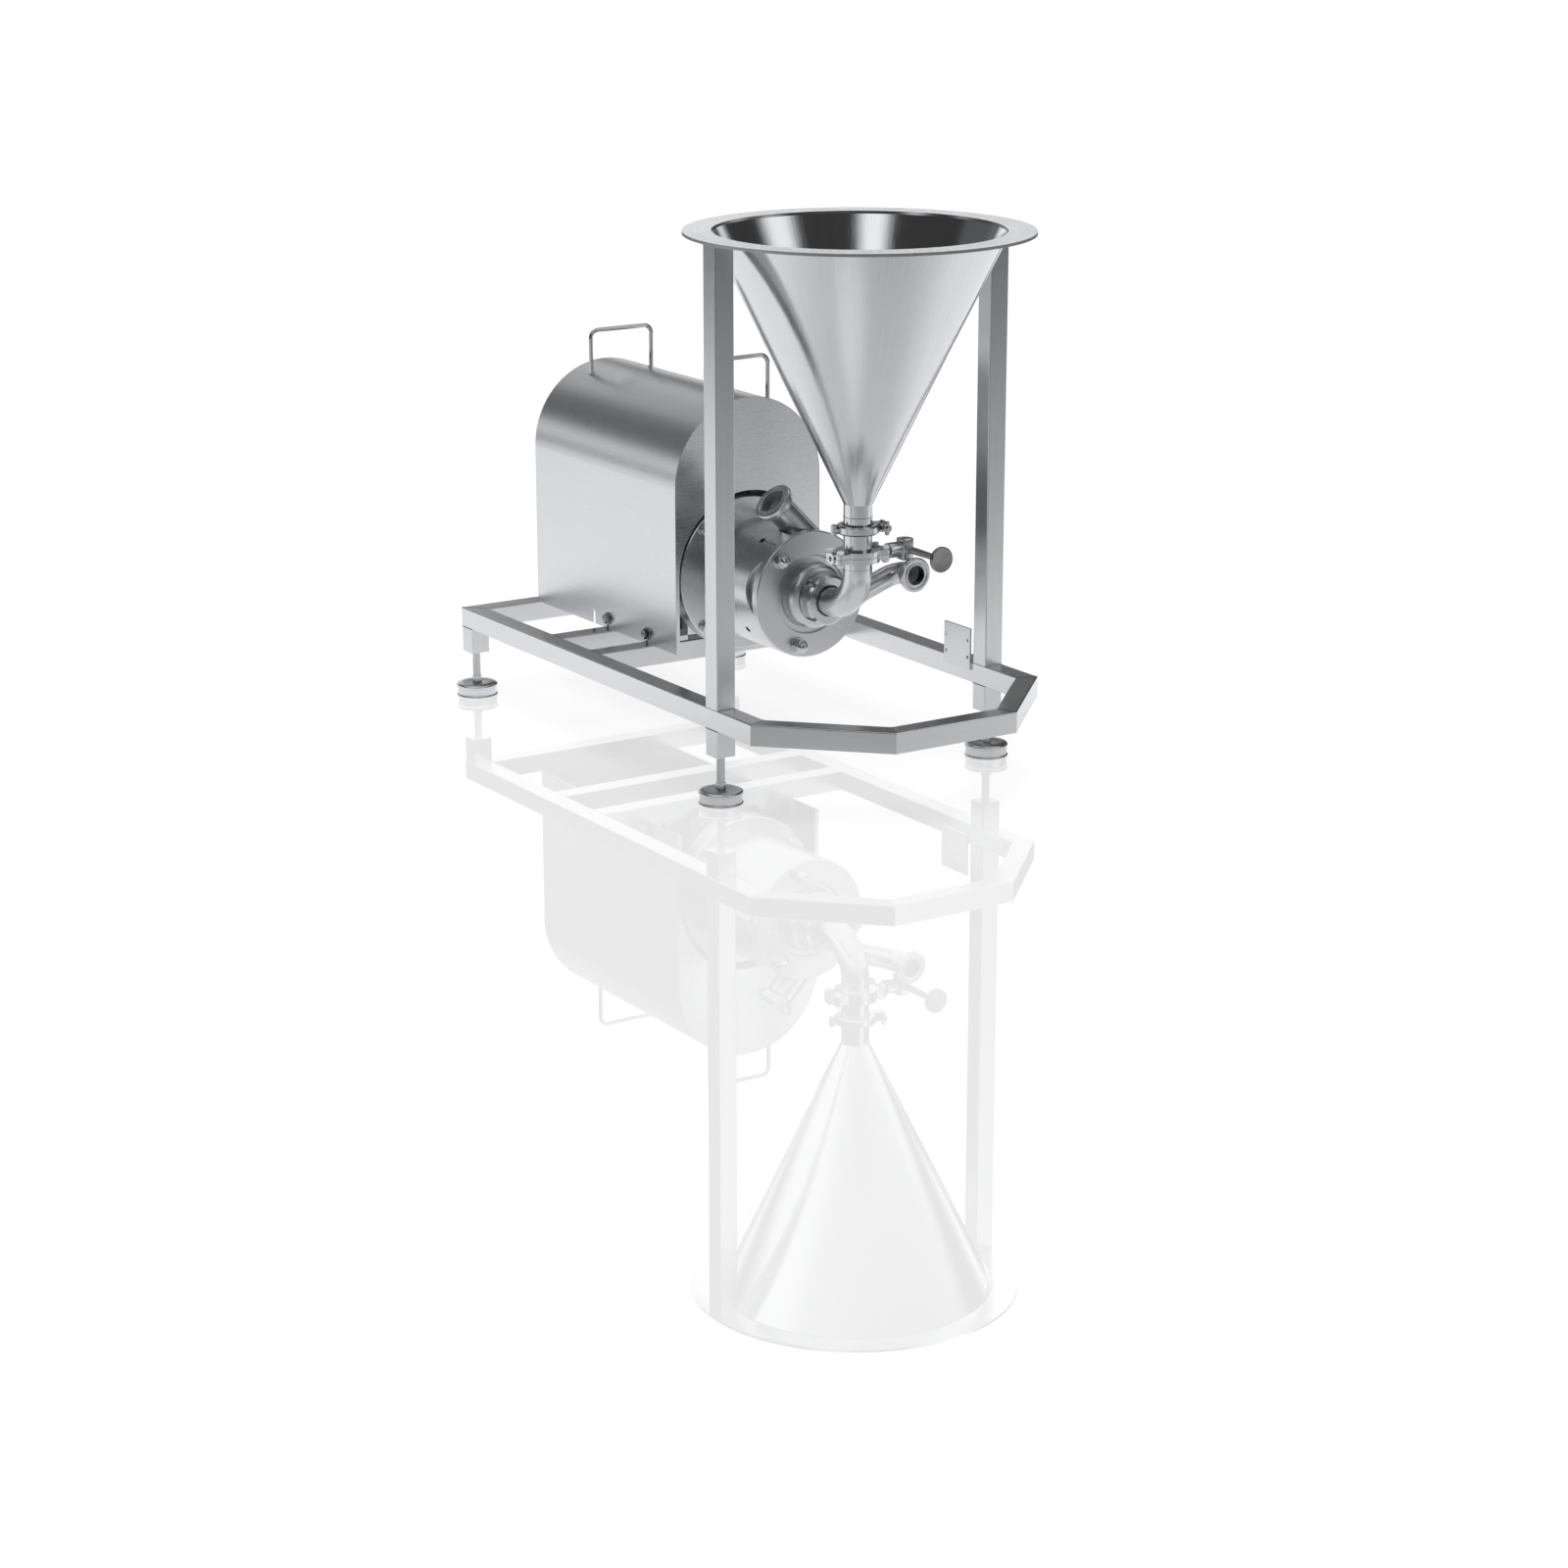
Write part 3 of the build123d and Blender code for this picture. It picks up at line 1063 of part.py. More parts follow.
def make_motor():
    flange_back = MOTOR_FACE_AT - MOTOR_FLANGE
    barrel_inner = MOTOR_BARREL_RADIUS - MOTOR_BARREL_WALL
    shaft_hole = MOTOR_SHAFT_RADIUS + MOTOR_SHAFT_GAP
    flange = turned([
        (shaft_hole, MOTOR_FACE_AT),
        (FLANGE_RADIUS, MOTOR_FACE_AT),
        (FLANGE_RADIUS, flange_back),
        (barrel_inner, flange_back),
        (barrel_inner, flange_back - MOTOR_SPIGOT),
        (BEARING_RADIUS, flange_back - MOTOR_SPIGOT),
        (BEARING_RADIUS, MOTOR_FACE_AT - FLANGE_EDGE),
        (shaft_hole, MOTOR_FACE_AT - FLANGE_EDGE),
    ])
    for place in flange_bolt_places():
        flange -= place * cylinder(FLANGE_BOLT_RADIUS, flange_back, MOTOR_FACE_AT)
    save("motor_flange", on_drive(flange))

    shield_front = MOTOR_BACK_AT + MOTOR_BARREL_WALL
    core_back = ROTOR_CORE_AT - ROTOR_CORE_LENGTH / 2
    core_front = ROTOR_CORE_AT + ROTOR_CORE_LENGTH / 2
    housing = turned([
        (shaft_hole, MOTOR_BACK_AT),
        (MOTOR_BARREL_RADIUS, MOTOR_BACK_AT),
        (MOTOR_BARREL_RADIUS, flange_back),
        (barrel_inner, flange_back),
        (barrel_inner, core_front),
        (STATOR_BORE_RADIUS, core_front),
        (STATOR_BORE_RADIUS, core_back),
        (barrel_inner, core_back),
        (barrel_inner, shield_front),
        (BEARING_RADIUS + BEARING_SEAT_WALL, shield_front),
        (BEARING_RADIUS + BEARING_SEAT_WALL, shield_front + BEARING_WIDTH),
        (BEARING_RADIUS, shield_front + BEARING_WIDTH),
        (BEARING_RADIUS, shield_front),
        (shaft_hole, shield_front),
    ])
    rib_length = flange_back - MOTOR_BACK_AT - 2 * RIB_END_GAP
    rib_middle = (flange_back + MOTOR_BACK_AT) / 2
    rib_reach = MOTOR_BARREL_RADIUS + MOTOR_RIB_HEIGHT
    span = int(MOTOR_BARREL_RADIUS * math.sin(math.radians(RIB_FIELD_ANGLE)) / MOTOR_RIB_PITCH)
    ribs = []
    for quarter in RIB_QUARTERS:
        for step in range(-span, span + 1):
            place = Rot(0, 0, quarter) * Pos(rib_reach / 2, step * MOTOR_RIB_PITCH, rib_middle)
            ribs.append(place * Box(rib_reach, MOTOR_RIB_THICKNESS, rib_length))
    root = MOTOR_BARREL_RADIUS - MOTOR_BARREL_WALL / 2
    ribs = Compound(children=ribs) & ring(rib_reach, root, MOTOR_BACK_AT, flange_back)
    housing = on_drive(housing) + on_drive(ribs)
    bottom = DECK_Z + FOOT_PAD
    stations = [place.position.Y for place in foot_hole_places()]
    y_range = (min(stations) - FOOT_PLATE_OVERHANG, max(stations) + FOOT_PLATE_OVERHANG)
    round_body = on_drive(cylinder(root, MOTOR_BACK_AT, flange_back))
    for side in SIDES.values():
        outer = side * (FOOT_PLATE_INNER + FOOT_PLATE_WIDTH)
        inner = side * FOOT_PLATE_INNER
        web = side * (FOOT_PLATE_INNER + FOOT_WEB)
        plate = block(sorted((inner, outer)), y_range, (bottom, bottom + FOOT_PLATE_THICKNESS))
        plate += block(sorted((inner, web)), y_range, (bottom, AXIS_Z)) - round_body
        housing += plate
    for place in foot_hole_places():
        housing -= place * cylinder(FOOT_BOLT_RADIUS, FOOT_PAD, FOOT_PAD + FOOT_PLATE_THICKNESS)
    box_bottom = AXIS_Z + rib_reach + BOX_SEAT
    neck_half = TERMINAL_BOX_WIDTH / 2 - TERMINAL_BOX_ROUND
    box_y = ahead(TERMINAL_BOX_AT)
    neck = block((-neck_half, neck_half), (box_y - neck_half, box_y + neck_half), (AXIS_Z, box_bottom))
    housing += neck - round_body
    save("motor_housing", housing)

    half_length = TERMINAL_BOX_LENGTH / 2
    half_width = TERMINAL_BOX_WIDTH / 2
    box = block((-half_width, half_width),
                (box_y - half_length, box_y + half_length),
                (box_bottom, box_bottom + TERMINAL_BOX_HEIGHT))
    box = fillet(box.edges().filter_by(Axis.Z), TERMINAL_BOX_ROUND)
    box = chamfer(box.edges().group_by(Axis.Z)[-1], TERMINAL_BOX_CHAMFER)
    save("terminal_box", box)

    shaft = cylinder(MOTOR_SHAFT_RADIUS, MOTOR_SHAFT_BACK_AT, MOTOR_FACE_AT + MOTOR_SHAFT_LENGTH)
    rotor = shaft + cylinder(ROTOR_CORE_RADIUS, core_back, core_front)
    save("motor_rotor", on_drive(rotor))

    front_bearing = MOTOR_FACE_AT - FLANGE_EDGE
    bearings = []
    for front in (shield_front + BEARING_WIDTH, front_bearing):
        race = ring(BEARING_RADIUS, MOTOR_SHAFT_RADIUS + RUNNING_CLEARANCE, front - BEARING_WIDTH, front)
        bearings.append(on_drive(race))
    save("motor_bearings", *bearings)

    bolts = []
    foot_top = FOOT_PAD + FOOT_PLATE_THICKNESS
    for place in foot_hole_places():
        bolt = cylinder(FOOT_BOLT_RADIUS, -TUBE_WALL - FOOT_BOLT_TIP, foot_top)
        bolt += hexagon(FOOT_BOLT_HEX, foot_top, foot_top + FOOT_BOLT_HEAD)
        bolts.append(place * bolt)
    save("motor_foot_bolts", *bolts)


def make_fan():
    hub_back = MOTOR_SHAFT_BACK_AT + FAN_SETBACK
    fan = ring(FAN_HUB_RADIUS, MOTOR_SHAFT_RADIUS, hub_back, hub_back + FAN_DEPTH)
    fan += ring(FAN_RADIUS, MOTOR_SHAFT_RADIUS, hub_back + FAN_DEPTH - FAN_PLATE, hub_back + FAN_DEPTH)
    blade = block((FAN_HUB_RADIUS - FAN_BLADE_ROOT, FAN_RADIUS),
                  (-FAN_BLADE_THICKNESS / 2, FAN_BLADE_THICKNESS / 2),
                  (hub_back, hub_back + FAN_DEPTH))
    for turn in range(FAN_BLADES):
        fan += Rot(0, 0, 360 * turn / FAN_BLADES) * blade
    save("motor_fan", on_drive(fan))

    front = MOTOR_BACK_AT + RIB_END_GAP
    grille_front = FAN_COVER_BACK_AT + FAN_COVER_WALL
    inner = FAN_COVER_RADIUS - FAN_COVER_WALL
    grille_radius = FAN_COVER_RADIUS - FAN_COVER_CHAMFER
    shoulder = FAN_COVER_BACK_AT + FAN_COVER_CHAMFER
    cover = turned([
        (0, FAN_COVER_BACK_AT),
        (grille_radius, FAN_COVER_BACK_AT),
        (FAN_COVER_RADIUS, shoulder),
        (FAN_COVER_RADIUS, front),
        (inner, front),
        (inner, shoulder),
        (grille_radius - FAN_COVER_WALL / 2, grille_front),
        (0, grille_front),
    ])
    pitch = grille_radius / (FAN_GRILLE_RINGS + 1)
    spoke = Pos(0, 0, FAN_COVER_BACK_AT) * Box(2 * FAN_COVER_RADIUS, FAN_SPOKE, FAN_COVER_CHAMFER)
    spokes = [Rot(0, 0, 360 * turn / FAN_SPOKES) * spoke for turn in range(FAN_SPOKES // 2)]
    spokes = Compound(children=spokes)
    for number in range(1, FAN_GRILLE_RINGS + 1):
        slot = ring(number * pitch + FAN_GRILLE_SLOT, number * pitch - FAN_GRILLE_SLOT,
                    FAN_COVER_BACK_AT, grille_front)
        cover -= slot - spokes
    tab_half = FAN_COVER_TAB / 2
    tab = block((0, inner + FAN_COVER_WALL / 2), (-tab_half, tab_half), (MOTOR_BACK_AT, front))
    tab -= cylinder(MOTOR_BARREL_RADIUS, MOTOR_BACK_AT, front)
    for turn in range(FAN_COVER_TABS):
        cover += Rot(0, 0, 360 * (turn + 0.5) / FAN_COVER_TABS) * tab
    save("motor_fan_cover", on_drive(cover))


def shroud_section(grown=0.0):
    """The shroud's outline seen from the front: straight sides under a half-round top."""
    half = SHROUD_HALF_WIDTH + grown
    top = Circle(half) & Pos(0, half / 2) * Rectangle(2 * half, half)
    sides = Pos(0, SHROUD_SIDE_HEIGHT / 2) * Rectangle(2 * half, SHROUD_SIDE_HEIGHT)
    return Pos(0, SHROUD_SIDE_HEIGHT) * top + sides


def shroud_slab(section, start, end):
    """A section drawn from the front, made solid between two stations."""
    place = Pos(0, ahead(start), DECK_Z) * Rot(90, 0, 0)
    return place * extrude(section, end - start)


def make_shroud():
    panel_back = SHROUD_FRONT_AT - SHEET
    section = shroud_section() - shroud_section(-SHEET)
    wrapper = shroud_slab(section, SHROUD_BACK_AT, panel_back)
    rear = shroud_slab(shroud_section(-SHEET / 2), SHROUD_BACK_AT, SHROUD_BACK_AT + SHEET)
    vent = shroud_slab(SlotOverall(VENT_LENGTH, VENT_WIDTH), SHROUD_BACK_AT, SHROUD_BACK_AT + SHEET)
    for place in GridLocations(VENT_COLUMN_PITCH, VENT_PITCH, VENT_COLUMNS, VENT_ROWS):
        spot = Pos(place.position.X, 0, VENT_CENTRE_HEIGHT + place.position.Y)
        rear -= spot * vent
    wrapper += rear
    slot_radius = SHROUD_SLOT_WIDTH / 2
    slots = {
        REAR_CROSSBAR_AT: SIDE_BOLT_HEIGHT,
        FRONT_CROSSBAR_AT: SIDE_BOLT_HEIGHT,
        SPARE_SLOT_AT: SPARE_SLOT_HEIGHT - slot_radius,
    }
    reach = 2 * SHROUD_HALF_WIDTH
    for station, height in slots.items():
        y = ahead(station)
        wrapper -= block((-reach, reach), (y - slot_radius, y + slot_radius), (DECK_Z, DECK_Z + height))
        wrapper -= bar(slot_radius, (-reach, y, DECK_Z + height), (reach, y, DECK_Z + height))
    save("motor_shroud", wrapper)

    arch = SHAFT_HEIGHT + CUTOUT_RISE
    cutout = Pos(0, arch) * Circle(CUTOUT_RADIUS) + Pos(0, arch / 2) * Rectangle(2 * CUTOUT_RADIUS, arch)
    save("shroud_front_panel", shroud_slab(shroud_section() - cutout, panel_back, SHROUD_FRONT_AT))

    top = SHROUD_SIDE_HEIGHT + SHROUD_HALF_WIDTH
    handles = []
    for station in HANDLE_STATIONS:
        corners = [
            (-HANDLE_HALF_SPAN, SHROUD_SIDE_HEIGHT),
            (-HANDLE_HALF_SPAN, top + HANDLE_RISE),
            (HANDLE_HALF_SPAN, top + HANDLE_RISE),
            (HANDLE_HALF_SPAN, SHROUD_SIDE_HEIGHT),
        ]
        points = [(x, ahead(station), DECK_Z + z) for x, z in corners]
        path = FilletPolyline(*points, radius=HANDLE_BEND_RADIUS)
        handle = sweep(Plane(points[0], z_dir=(0, 0, 1)) * Circle(HANDLE_ROD_RADIUS), path)
        handles.append(handle - shroud_slab(shroud_section(), SHROUD_BACK_AT, SHROUD_FRONT_AT))
    save("shroud_handles", *handles)


def make_shroud_fixings():
    """The brackets on the crossbars and the side bolts that the shroud's slots slip over."""
    sheet_inner = SHROUD_HALF_WIDTH - SHEET
    outer = sheet_inner - BRACKET_GAP
    brackets = []
    bolts = []
    for station in (REAR_CROSSBAR_AT, FRONT_CROSSBAR_AT):
        for side in SIDES.values():
            y = ahead(station)
            y_range = (y - BRACKET_WIDTH / 2, y + BRACKET_WIDTH / 2)
            upright = sorted((side * outer, side * (outer - BRACKET_THICKNESS)))
            foot = sorted((side * outer, side * (outer - BRACKET_FOOT)))
            bracket = block(upright, y_range, (DECK_Z, DECK_Z + BRACKET_HEIGHT))
            bracket += block(foot, y_range, (DECK_Z, DECK_Z + BRACKET_THICKNESS))
            place = Pos(side * outer, y, DECK_Z + SIDE_BOLT_HEIGHT) * Rot(0, side * 90, 0)
            bracket -= place * cylinder(SIDE_BOLT_RADIUS, -BRACKET_THICKNESS, 0)
            brackets.append(bracket)
            washer_inner = SHEET + 2 * BRACKET_GAP
            head = washer_inner + SIDE_WASHER_THICKNESS
            bolt = cylinder(SIDE_BOLT_RADIUS, head - SIDE_BOLT_LENGTH, head)
            bolt += hexagon(SIDE_BOLT_HEX, head, head + SIDE_BOLT_HEAD)
            bolts += [place * bolt, place * ring(SIDE_WASHER_RADIUS, SIDE_BOLT_RADIUS, washer_inner, head)]
    save("shroud_brackets", *brackets)
    save("shroud_bolts", *bolts)


os.makedirs("parts", exist_ok=True)
make_base_frame()
make_feet()
make_bracket_plate()
make_hopper()
make_clamp()
make_valve()
make_suction()
make_cover()
make_casing()
make_impeller()
make_lantern()
make_motor()
make_fan()
make_shroud()
make_shroud_fixings()
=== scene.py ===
import math

import bmesh
import bpy
from mathutils import Euler, Matrix, Vector


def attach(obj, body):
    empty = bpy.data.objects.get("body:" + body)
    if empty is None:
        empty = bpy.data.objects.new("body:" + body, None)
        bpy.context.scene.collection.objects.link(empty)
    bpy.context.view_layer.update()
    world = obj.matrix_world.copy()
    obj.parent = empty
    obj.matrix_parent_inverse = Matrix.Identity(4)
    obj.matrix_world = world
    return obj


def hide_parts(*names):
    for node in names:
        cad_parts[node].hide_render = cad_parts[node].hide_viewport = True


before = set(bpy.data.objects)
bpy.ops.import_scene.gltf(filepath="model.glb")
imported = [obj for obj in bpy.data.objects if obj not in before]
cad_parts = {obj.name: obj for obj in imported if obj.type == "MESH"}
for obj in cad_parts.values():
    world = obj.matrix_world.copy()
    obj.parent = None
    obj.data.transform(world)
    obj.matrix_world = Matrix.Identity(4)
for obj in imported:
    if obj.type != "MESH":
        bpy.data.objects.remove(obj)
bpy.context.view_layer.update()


# Floor frame
# Square stainless tube 40 mm wide, cut to mitres, welded and dressed flush, then drawn lengthwise
# through a belt grinder, so that every rail and post carries a fine grain along its own length.
class Flow:
    """One output of a node, which can be reckoned with as a number can."""

    def __init__(self, socket):
        self.socket = socket

    def math(self, operation, *values):
        node = self.socket.id_data.nodes.new("ShaderNodeMath")
        node.operation = operation
        for place, value in zip(node.inputs, values):
            plug(place, value)
        return Flow(node.outputs[0])

    def __add__(self, other):
        return self.math("ADD", self, other)

    def __sub__(self, other):
        return self.math("SUBTRACT", self, other)

    def __rsub__(self, other):
        return self.math("SUBTRACT", other, self)

    def __mul__(self, other):
        return self.math("MULTIPLY", self, other)

    def __truediv__(self, other):
        return self.math("DIVIDE", self, other)

    def __pow__(self, other):
        return self.math("POWER", self, other)


def plug(place, value):
    """Links a node's output to an input, or sets the input to a plain value."""
    if isinstance(value, Flow):
        value.socket.id_data.links.new(value.socket, place)
    else:
        place.default_value = value


def fill_ramp(ramp, stops):
    """Gives a colour ramp its (position, grey) stops."""
    while len(ramp.elements) > 1:
        ramp.elements.remove(ramp.elements[-1])
    for number, (position, grey) in enumerate(stops):
        stop = ramp.elements[0] if number == 0 else ramp.elements.new(position)
        stop.position = position
        stop.color = (grey, grey, grey, 1)


class Tree:
    """A tree of nodes. Its node method adds any node, settings first and then socket values or links."""

    def __init__(self, tree):
        self.tree = tree

    def node(self, kind, settings=None, values=None, output=0):
        node = self.tree.nodes.new(kind)
        for name, value in (settings or {}).items():
            if name == "stops":
                fill_ramp(node.color_ramp, value)
            else:
                setattr(node, name, value)
        for name, value in (values or {}).items():
            plug(node.inputs[name], value)
        return Flow(node.outputs[output])

    def parts(self, point):
        """The three numbers of a vector."""
        split = self.node("ShaderNodeSeparateXYZ", {}, {0: point}).socket.node
        return [Flow(output) for output in split.outputs]

    def vector(self, x, y, z):
        return self.node("ShaderNodeCombineXYZ", {}, {0: x, 1: y, 2: z})

    def eased(self, value, low, high, start=0.0, end=1.0):
        """A soft step from start to end while the value goes from low to high."""
        return self.node("ShaderNodeMapRange", {"interpolation_type": "SMOOTHSTEP"},
                         {"Value": value, "From Min": low, "From Max": high, "To Min": start, "To Max": end})


COOL_GREEN = 1.015
COOL_BLUE = 1.048
PALM = (7, 7, 7)
FINGERTIP = (38, 38, 38)


class Finish(Tree):
    """A surface finish on one Principled shader. Its patterns follow the piece's own coordinates."""

    def __init__(self, name, edge=0.0, **constants):
        self.material = bpy.data.materials.new(name)
        self.material.use_nodes = True
        super().__init__(self.material.node_tree)
        self.shader = self.tree.nodes["Principled BSDF"]
        self.edge = edge
        self.set(**constants)

    def set(self, **values):
        for name, value in values.items():
            plug(self.shader.inputs[name.replace("_", " ")], value)

    def local(self, centre=(0, 0, 0), turn=(0, 0, 0)):
        """Coordinates about a centre, turned so that the piece's own axis is their Z."""
        point = self.node("ShaderNodeTexCoord", output="Object")
        return self.node("ShaderNodeMapping", {"vector_type": "TEXTURE"},
                         {"Vector": point, "Location": centre, "Rotation": turn})

    def about(self, centre, turn):
        """Distance from the piece's own axis, and height along it."""
        x, y, height = self.parts(self.local(centre, turn))
        return (x * x + y * y) ** 0.5, height

    def noise(self, point, scale=(1, 1, 1), detail=3.0):
        """Noise from 0 to 1, with so many waves to the metre along each axis."""
        scaled = self.node("ShaderNodeVectorMath", {"operation": "MULTIPLY"}, {0: point, 1: scale})
        return self.node("ShaderNodeTexNoise", {}, {"Vector": scaled, "Scale": 1.0, "Detail": detail})

    def grey(self, factor, dark, light):
        """A slightly cool grey between two levels, by a factor from 0 to 1."""
        ends = [(level, level * COOL_GREEN, level * COOL_BLUE, 1) for level in (dark, light)]
        return self.node("ShaderNodeMix", {"data_type": "RGBA", "clamp_factor": False},
                         {0: factor, 6: ends[0], 7: ends[1]}, output=2)

    def relief(self, height, depth):
        """Bumps the surface by a height from 0 to 1 that stands for a depth in metres."""
        values = {"Height": height, "Distance": depth}
        if self.edge:
            values["Normal"] = self.node("ShaderNodeBevel", {"samples": 4}, {"Radius": self.edge})
        self.set(Normal=self.node("ShaderNodeBump", {}, values))

    def surface(self, tone, tones, roughness, height, depth):
        """The finished material: (dark, light) tones by a factor, a roughness and a relief."""
        self.set(Base_Color=self.grey(tone, *tones), Roughness=roughness)
        self.relief(height, depth)
        return self.material

    def wear(self):
        """Soft blotches at the size of a palm and of a fingertip, as handling and washing leave."""
        point = self.local()
        return self.noise(point, PALM) * 0.5 + self.noise(point, FINGERTIP, 4.0) * 0.5


GROUND_ACROSS = 1100.0
GROUND_ALONG = 16.0
BAND_SHARE = 0.2
GROUND_DEPTH = 0.00004


def ground_steel(name, run, turn=0.0, light=0.75, dark=0.59, shine=0.30, end_run=None, edge=0.0):
    """Belt-ground stainless, with its grain along one axis. A sheet bent round has a second run for
    the faces that look along the first one."""
    finish = Finish(name, edge, Metallic=1.0)
    point = finish.local(turn=(0, 0, turn))

    def grain(axis, across, along):
        return finish.noise(point, [along if letter == axis else across for letter in "xyz"], 2.0)

    lines = grain(run, GROUND_ACROSS, GROUND_ALONG)
    if end_run:
        facing = finish.parts(finish.node("ShaderNodeTexCoord", output="Normal"))["xyz".index(run)]
        on_end = finish.eased(facing.math("ABSOLUTE", facing), 0.6, 0.8)
        lines = lines * (1 - on_end) + grain(end_run, GROUND_ACROSS, GROUND_ALONG) * on_end
    bands = grain(run, GROUND_ACROSS * BAND_SHARE, GROUND_ALONG * BAND_SHARE)
    wear = finish.wear()
    return finish.surface(lines * 0.5 + bands * 0.2 + wear * 0.3, (dark, light),
                          lines * 0.12 + wear * 0.10 + (shine - 0.11), lines, GROUND_DEPTH)


def dress(material, *names):
    """Gives CAD nodes their finish."""
    for name in names:
        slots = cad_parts[name].data.materials
        if not slots:
            slots.append(material)
        for number in range(len(slots)):
            slots[number] = material


NOSE_SLANT = math.radians(45)
dress(ground_steel("rail_steel_lengthwise", "y", shine=0.22), "left_rail", "right_rail")
dress(ground_steel("rail_steel_crosswise", "x", shine=0.22),
      "rear_rail", "nose_front_rail", "rear_crossbar", "front_crossbar")
# The nose's left rail gets darker tones than the other rails: painted shade for the darker light on that
# face.
dress(ground_steel("rail_steel_nose_left", "y", NOSE_SLANT, light=0.50, dark=0.40, shine=0.22),
      "nose_left_rail")
dress(ground_steel("rail_steel_nose_right", "y", -NOSE_SLANT, shine=0.22), "nose_right_rail")
dress(ground_steel("rail_steel_upright", "z", light=0.74, dark=0.52, shine=0.24),
      "leg_blocks", "left_post", "right_post")
dress(ground_steel("bracket_steel", "y", edge=0.0005), "bracket_plate")


# Weld seams
# Stainless filler laid by hand with a torch: small rippled beads where crossbars, posts and pipes are joined,
# and fine dark dressed lines along mitres, legs and crossbar tops; at the legs the dark line is also painted
# shade for the gap under the rail. Each is drawn along its seam.
def add_object(name, data):
    """A new object, in the scene."""
    made = bpy.data.objects.new(name, data)
    bpy.context.scene.collection.objects.link(made)
    return made


class Rig(Tree):
    """A Geometry Nodes tree whose sizes are named inputs."""

    def __init__(self, name, **sizes):
        super().__init__(bpy.data.node_groups.new(name, "GeometryNodeTree"))
        self.sizes = {}
        self.add("Geometry", "OUTPUT", "NodeSocketGeometry")
        self.add("Geometry", "INPUT", "NodeSocketGeometry")
        for size, kind in sizes.items():
            self.sizes[size] = self.add(size, "INPUT", "NodeSocket" + kind).identifier
        self.source = self.tree.nodes.new("NodeGroupInput")
        self.mesh = Flow(self.source.outputs["Geometry"])

    def add(self, name, way, kind):
        return self.tree.interface.new_socket(name, in_out=way, socket_type=kind)

    def size(self, name):
        return Flow(self.source.outputs[name])

    def finish(self, shape):
        """Ends the tree: instances made real, then the finish given to every face."""
        real = self.node("GeometryNodeRealizeInstances", {}, {0: shape})
        painted = self.node("GeometryNodeSetMaterial", {}, {0: real, "Material": self.size("Finish")})
        plug(self.tree.nodes.new("NodeGroupOutput").inputs[0], painted)

    def run(self, mesh, **values):
        """The tree's result on a mesh, as a plain mesh."""
        carrier = add_object("carrier", mesh)
        modifier = carrier.modifiers.new("rig", "NODES")
        modifier.node_group = self.tree
        for name, value in values.items():
            modifier[self.sizes[name]] = value
        depsgraph = bpy.context.evaluated_depsgraph_get()
        depsgraph.update()
        made = bpy.data.meshes.new_from_object(carrier.evaluated_get(depsgraph))
        carrier.modifiers.remove(modifier)
        bpy.data.objects.remove(carrier)
        return made


def weld_rig():
    """A round bead along every edge path, swelling and thinning with the pitch of the torch's dabs."""
    rig = Rig("weld_bead", Radius="Float", Pitch="Float", Ripple="Float", Finish="Material")
    path = rig.node("GeometryNodeMeshToCurve", {}, {0: rig.mesh})
    path = rig.node("GeometryNodeResampleCurve", {"mode": "LENGTH"},
                    {"Curve": path, "Length": rig.size("Pitch") / 4})
    reach = rig.node("GeometryNodeSplineParameter", output="Length")
    wave = reach / rig.size("Pitch") * math.tau
    swell = wave.math("SINE", wave) * rig.size("Ripple") + 1
    round_bar = rig.node("GeometryNodeCurvePrimitiveCircle", {}, {"Resolution": 8, "Radius": 1.0})
    rig.finish(rig.node("GeometryNodeCurveToMesh", {},
                        {"Curve": path, "Profile Curve": round_bar, "Scale": swell * rig.size("Radius"),
                         "Fill Caps": True}))
    return rig


def path_mesh(*paths):
    """A mesh of edges only, one run of them for each path; a path that ends where it began is closed."""
    points, edges = [], []
    for path in paths:
        path = [tuple(point) for point in path]
        closed = (Vector(path[0]) - Vector(path[-1])).length < 1e-6
        path = path[:-1] if closed else path
        first = len(points)
        points += path
        edges += [(first + i, first + i + 1) for i in range(len(path) - 1)]
        if closed:
            edges.append((len(points) - 1, first))
    mesh = bpy.data.meshes.new("paths")
    mesh.from_pydata(points, edges, [])
    return mesh


def put(name, mesh, body, slot, *nodes):
    """Makes a finished mesh a piece on a body, in place of the CAD nodes that it stands for."""
    mesh.name = name
    piece = add_object(name, mesh)
    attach(piece, body)
    for node in nodes:
        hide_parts(node)


def weld(name, paths, finish, size, body, slot):
    """Beads along paths as one piece. The size is (radius, pitch, ripple)."""
    radius, pitch, ripple = size
    bead = WELD.run(path_mesh(*paths), Radius=radius, Pitch=pitch, Ripple=ripple, Finish=finish)
    put(name, bead, body, slot)


def turn_angles(steps):
    """The angles of a full turn, in even steps."""
    return [math.tau * step / steps for step in range(steps)]


def ring_of(point_at, steps):
    """A closed ring of points, one for each angle of a full turn."""
    points = [point_at(angle) for angle in turn_angles(steps)]
    return points + points[:1]


def polar(radius, angle):
    """Where a radius at an angle ends, across and up."""
    return radius * math.cos(angle), radius * math.sin(angle)


def placing(centre, turn):
    """Turns about the origin and then moves it to the centre."""
    return Matrix.Translation(centre) @ Euler(turn).to_matrix().to_4x4()


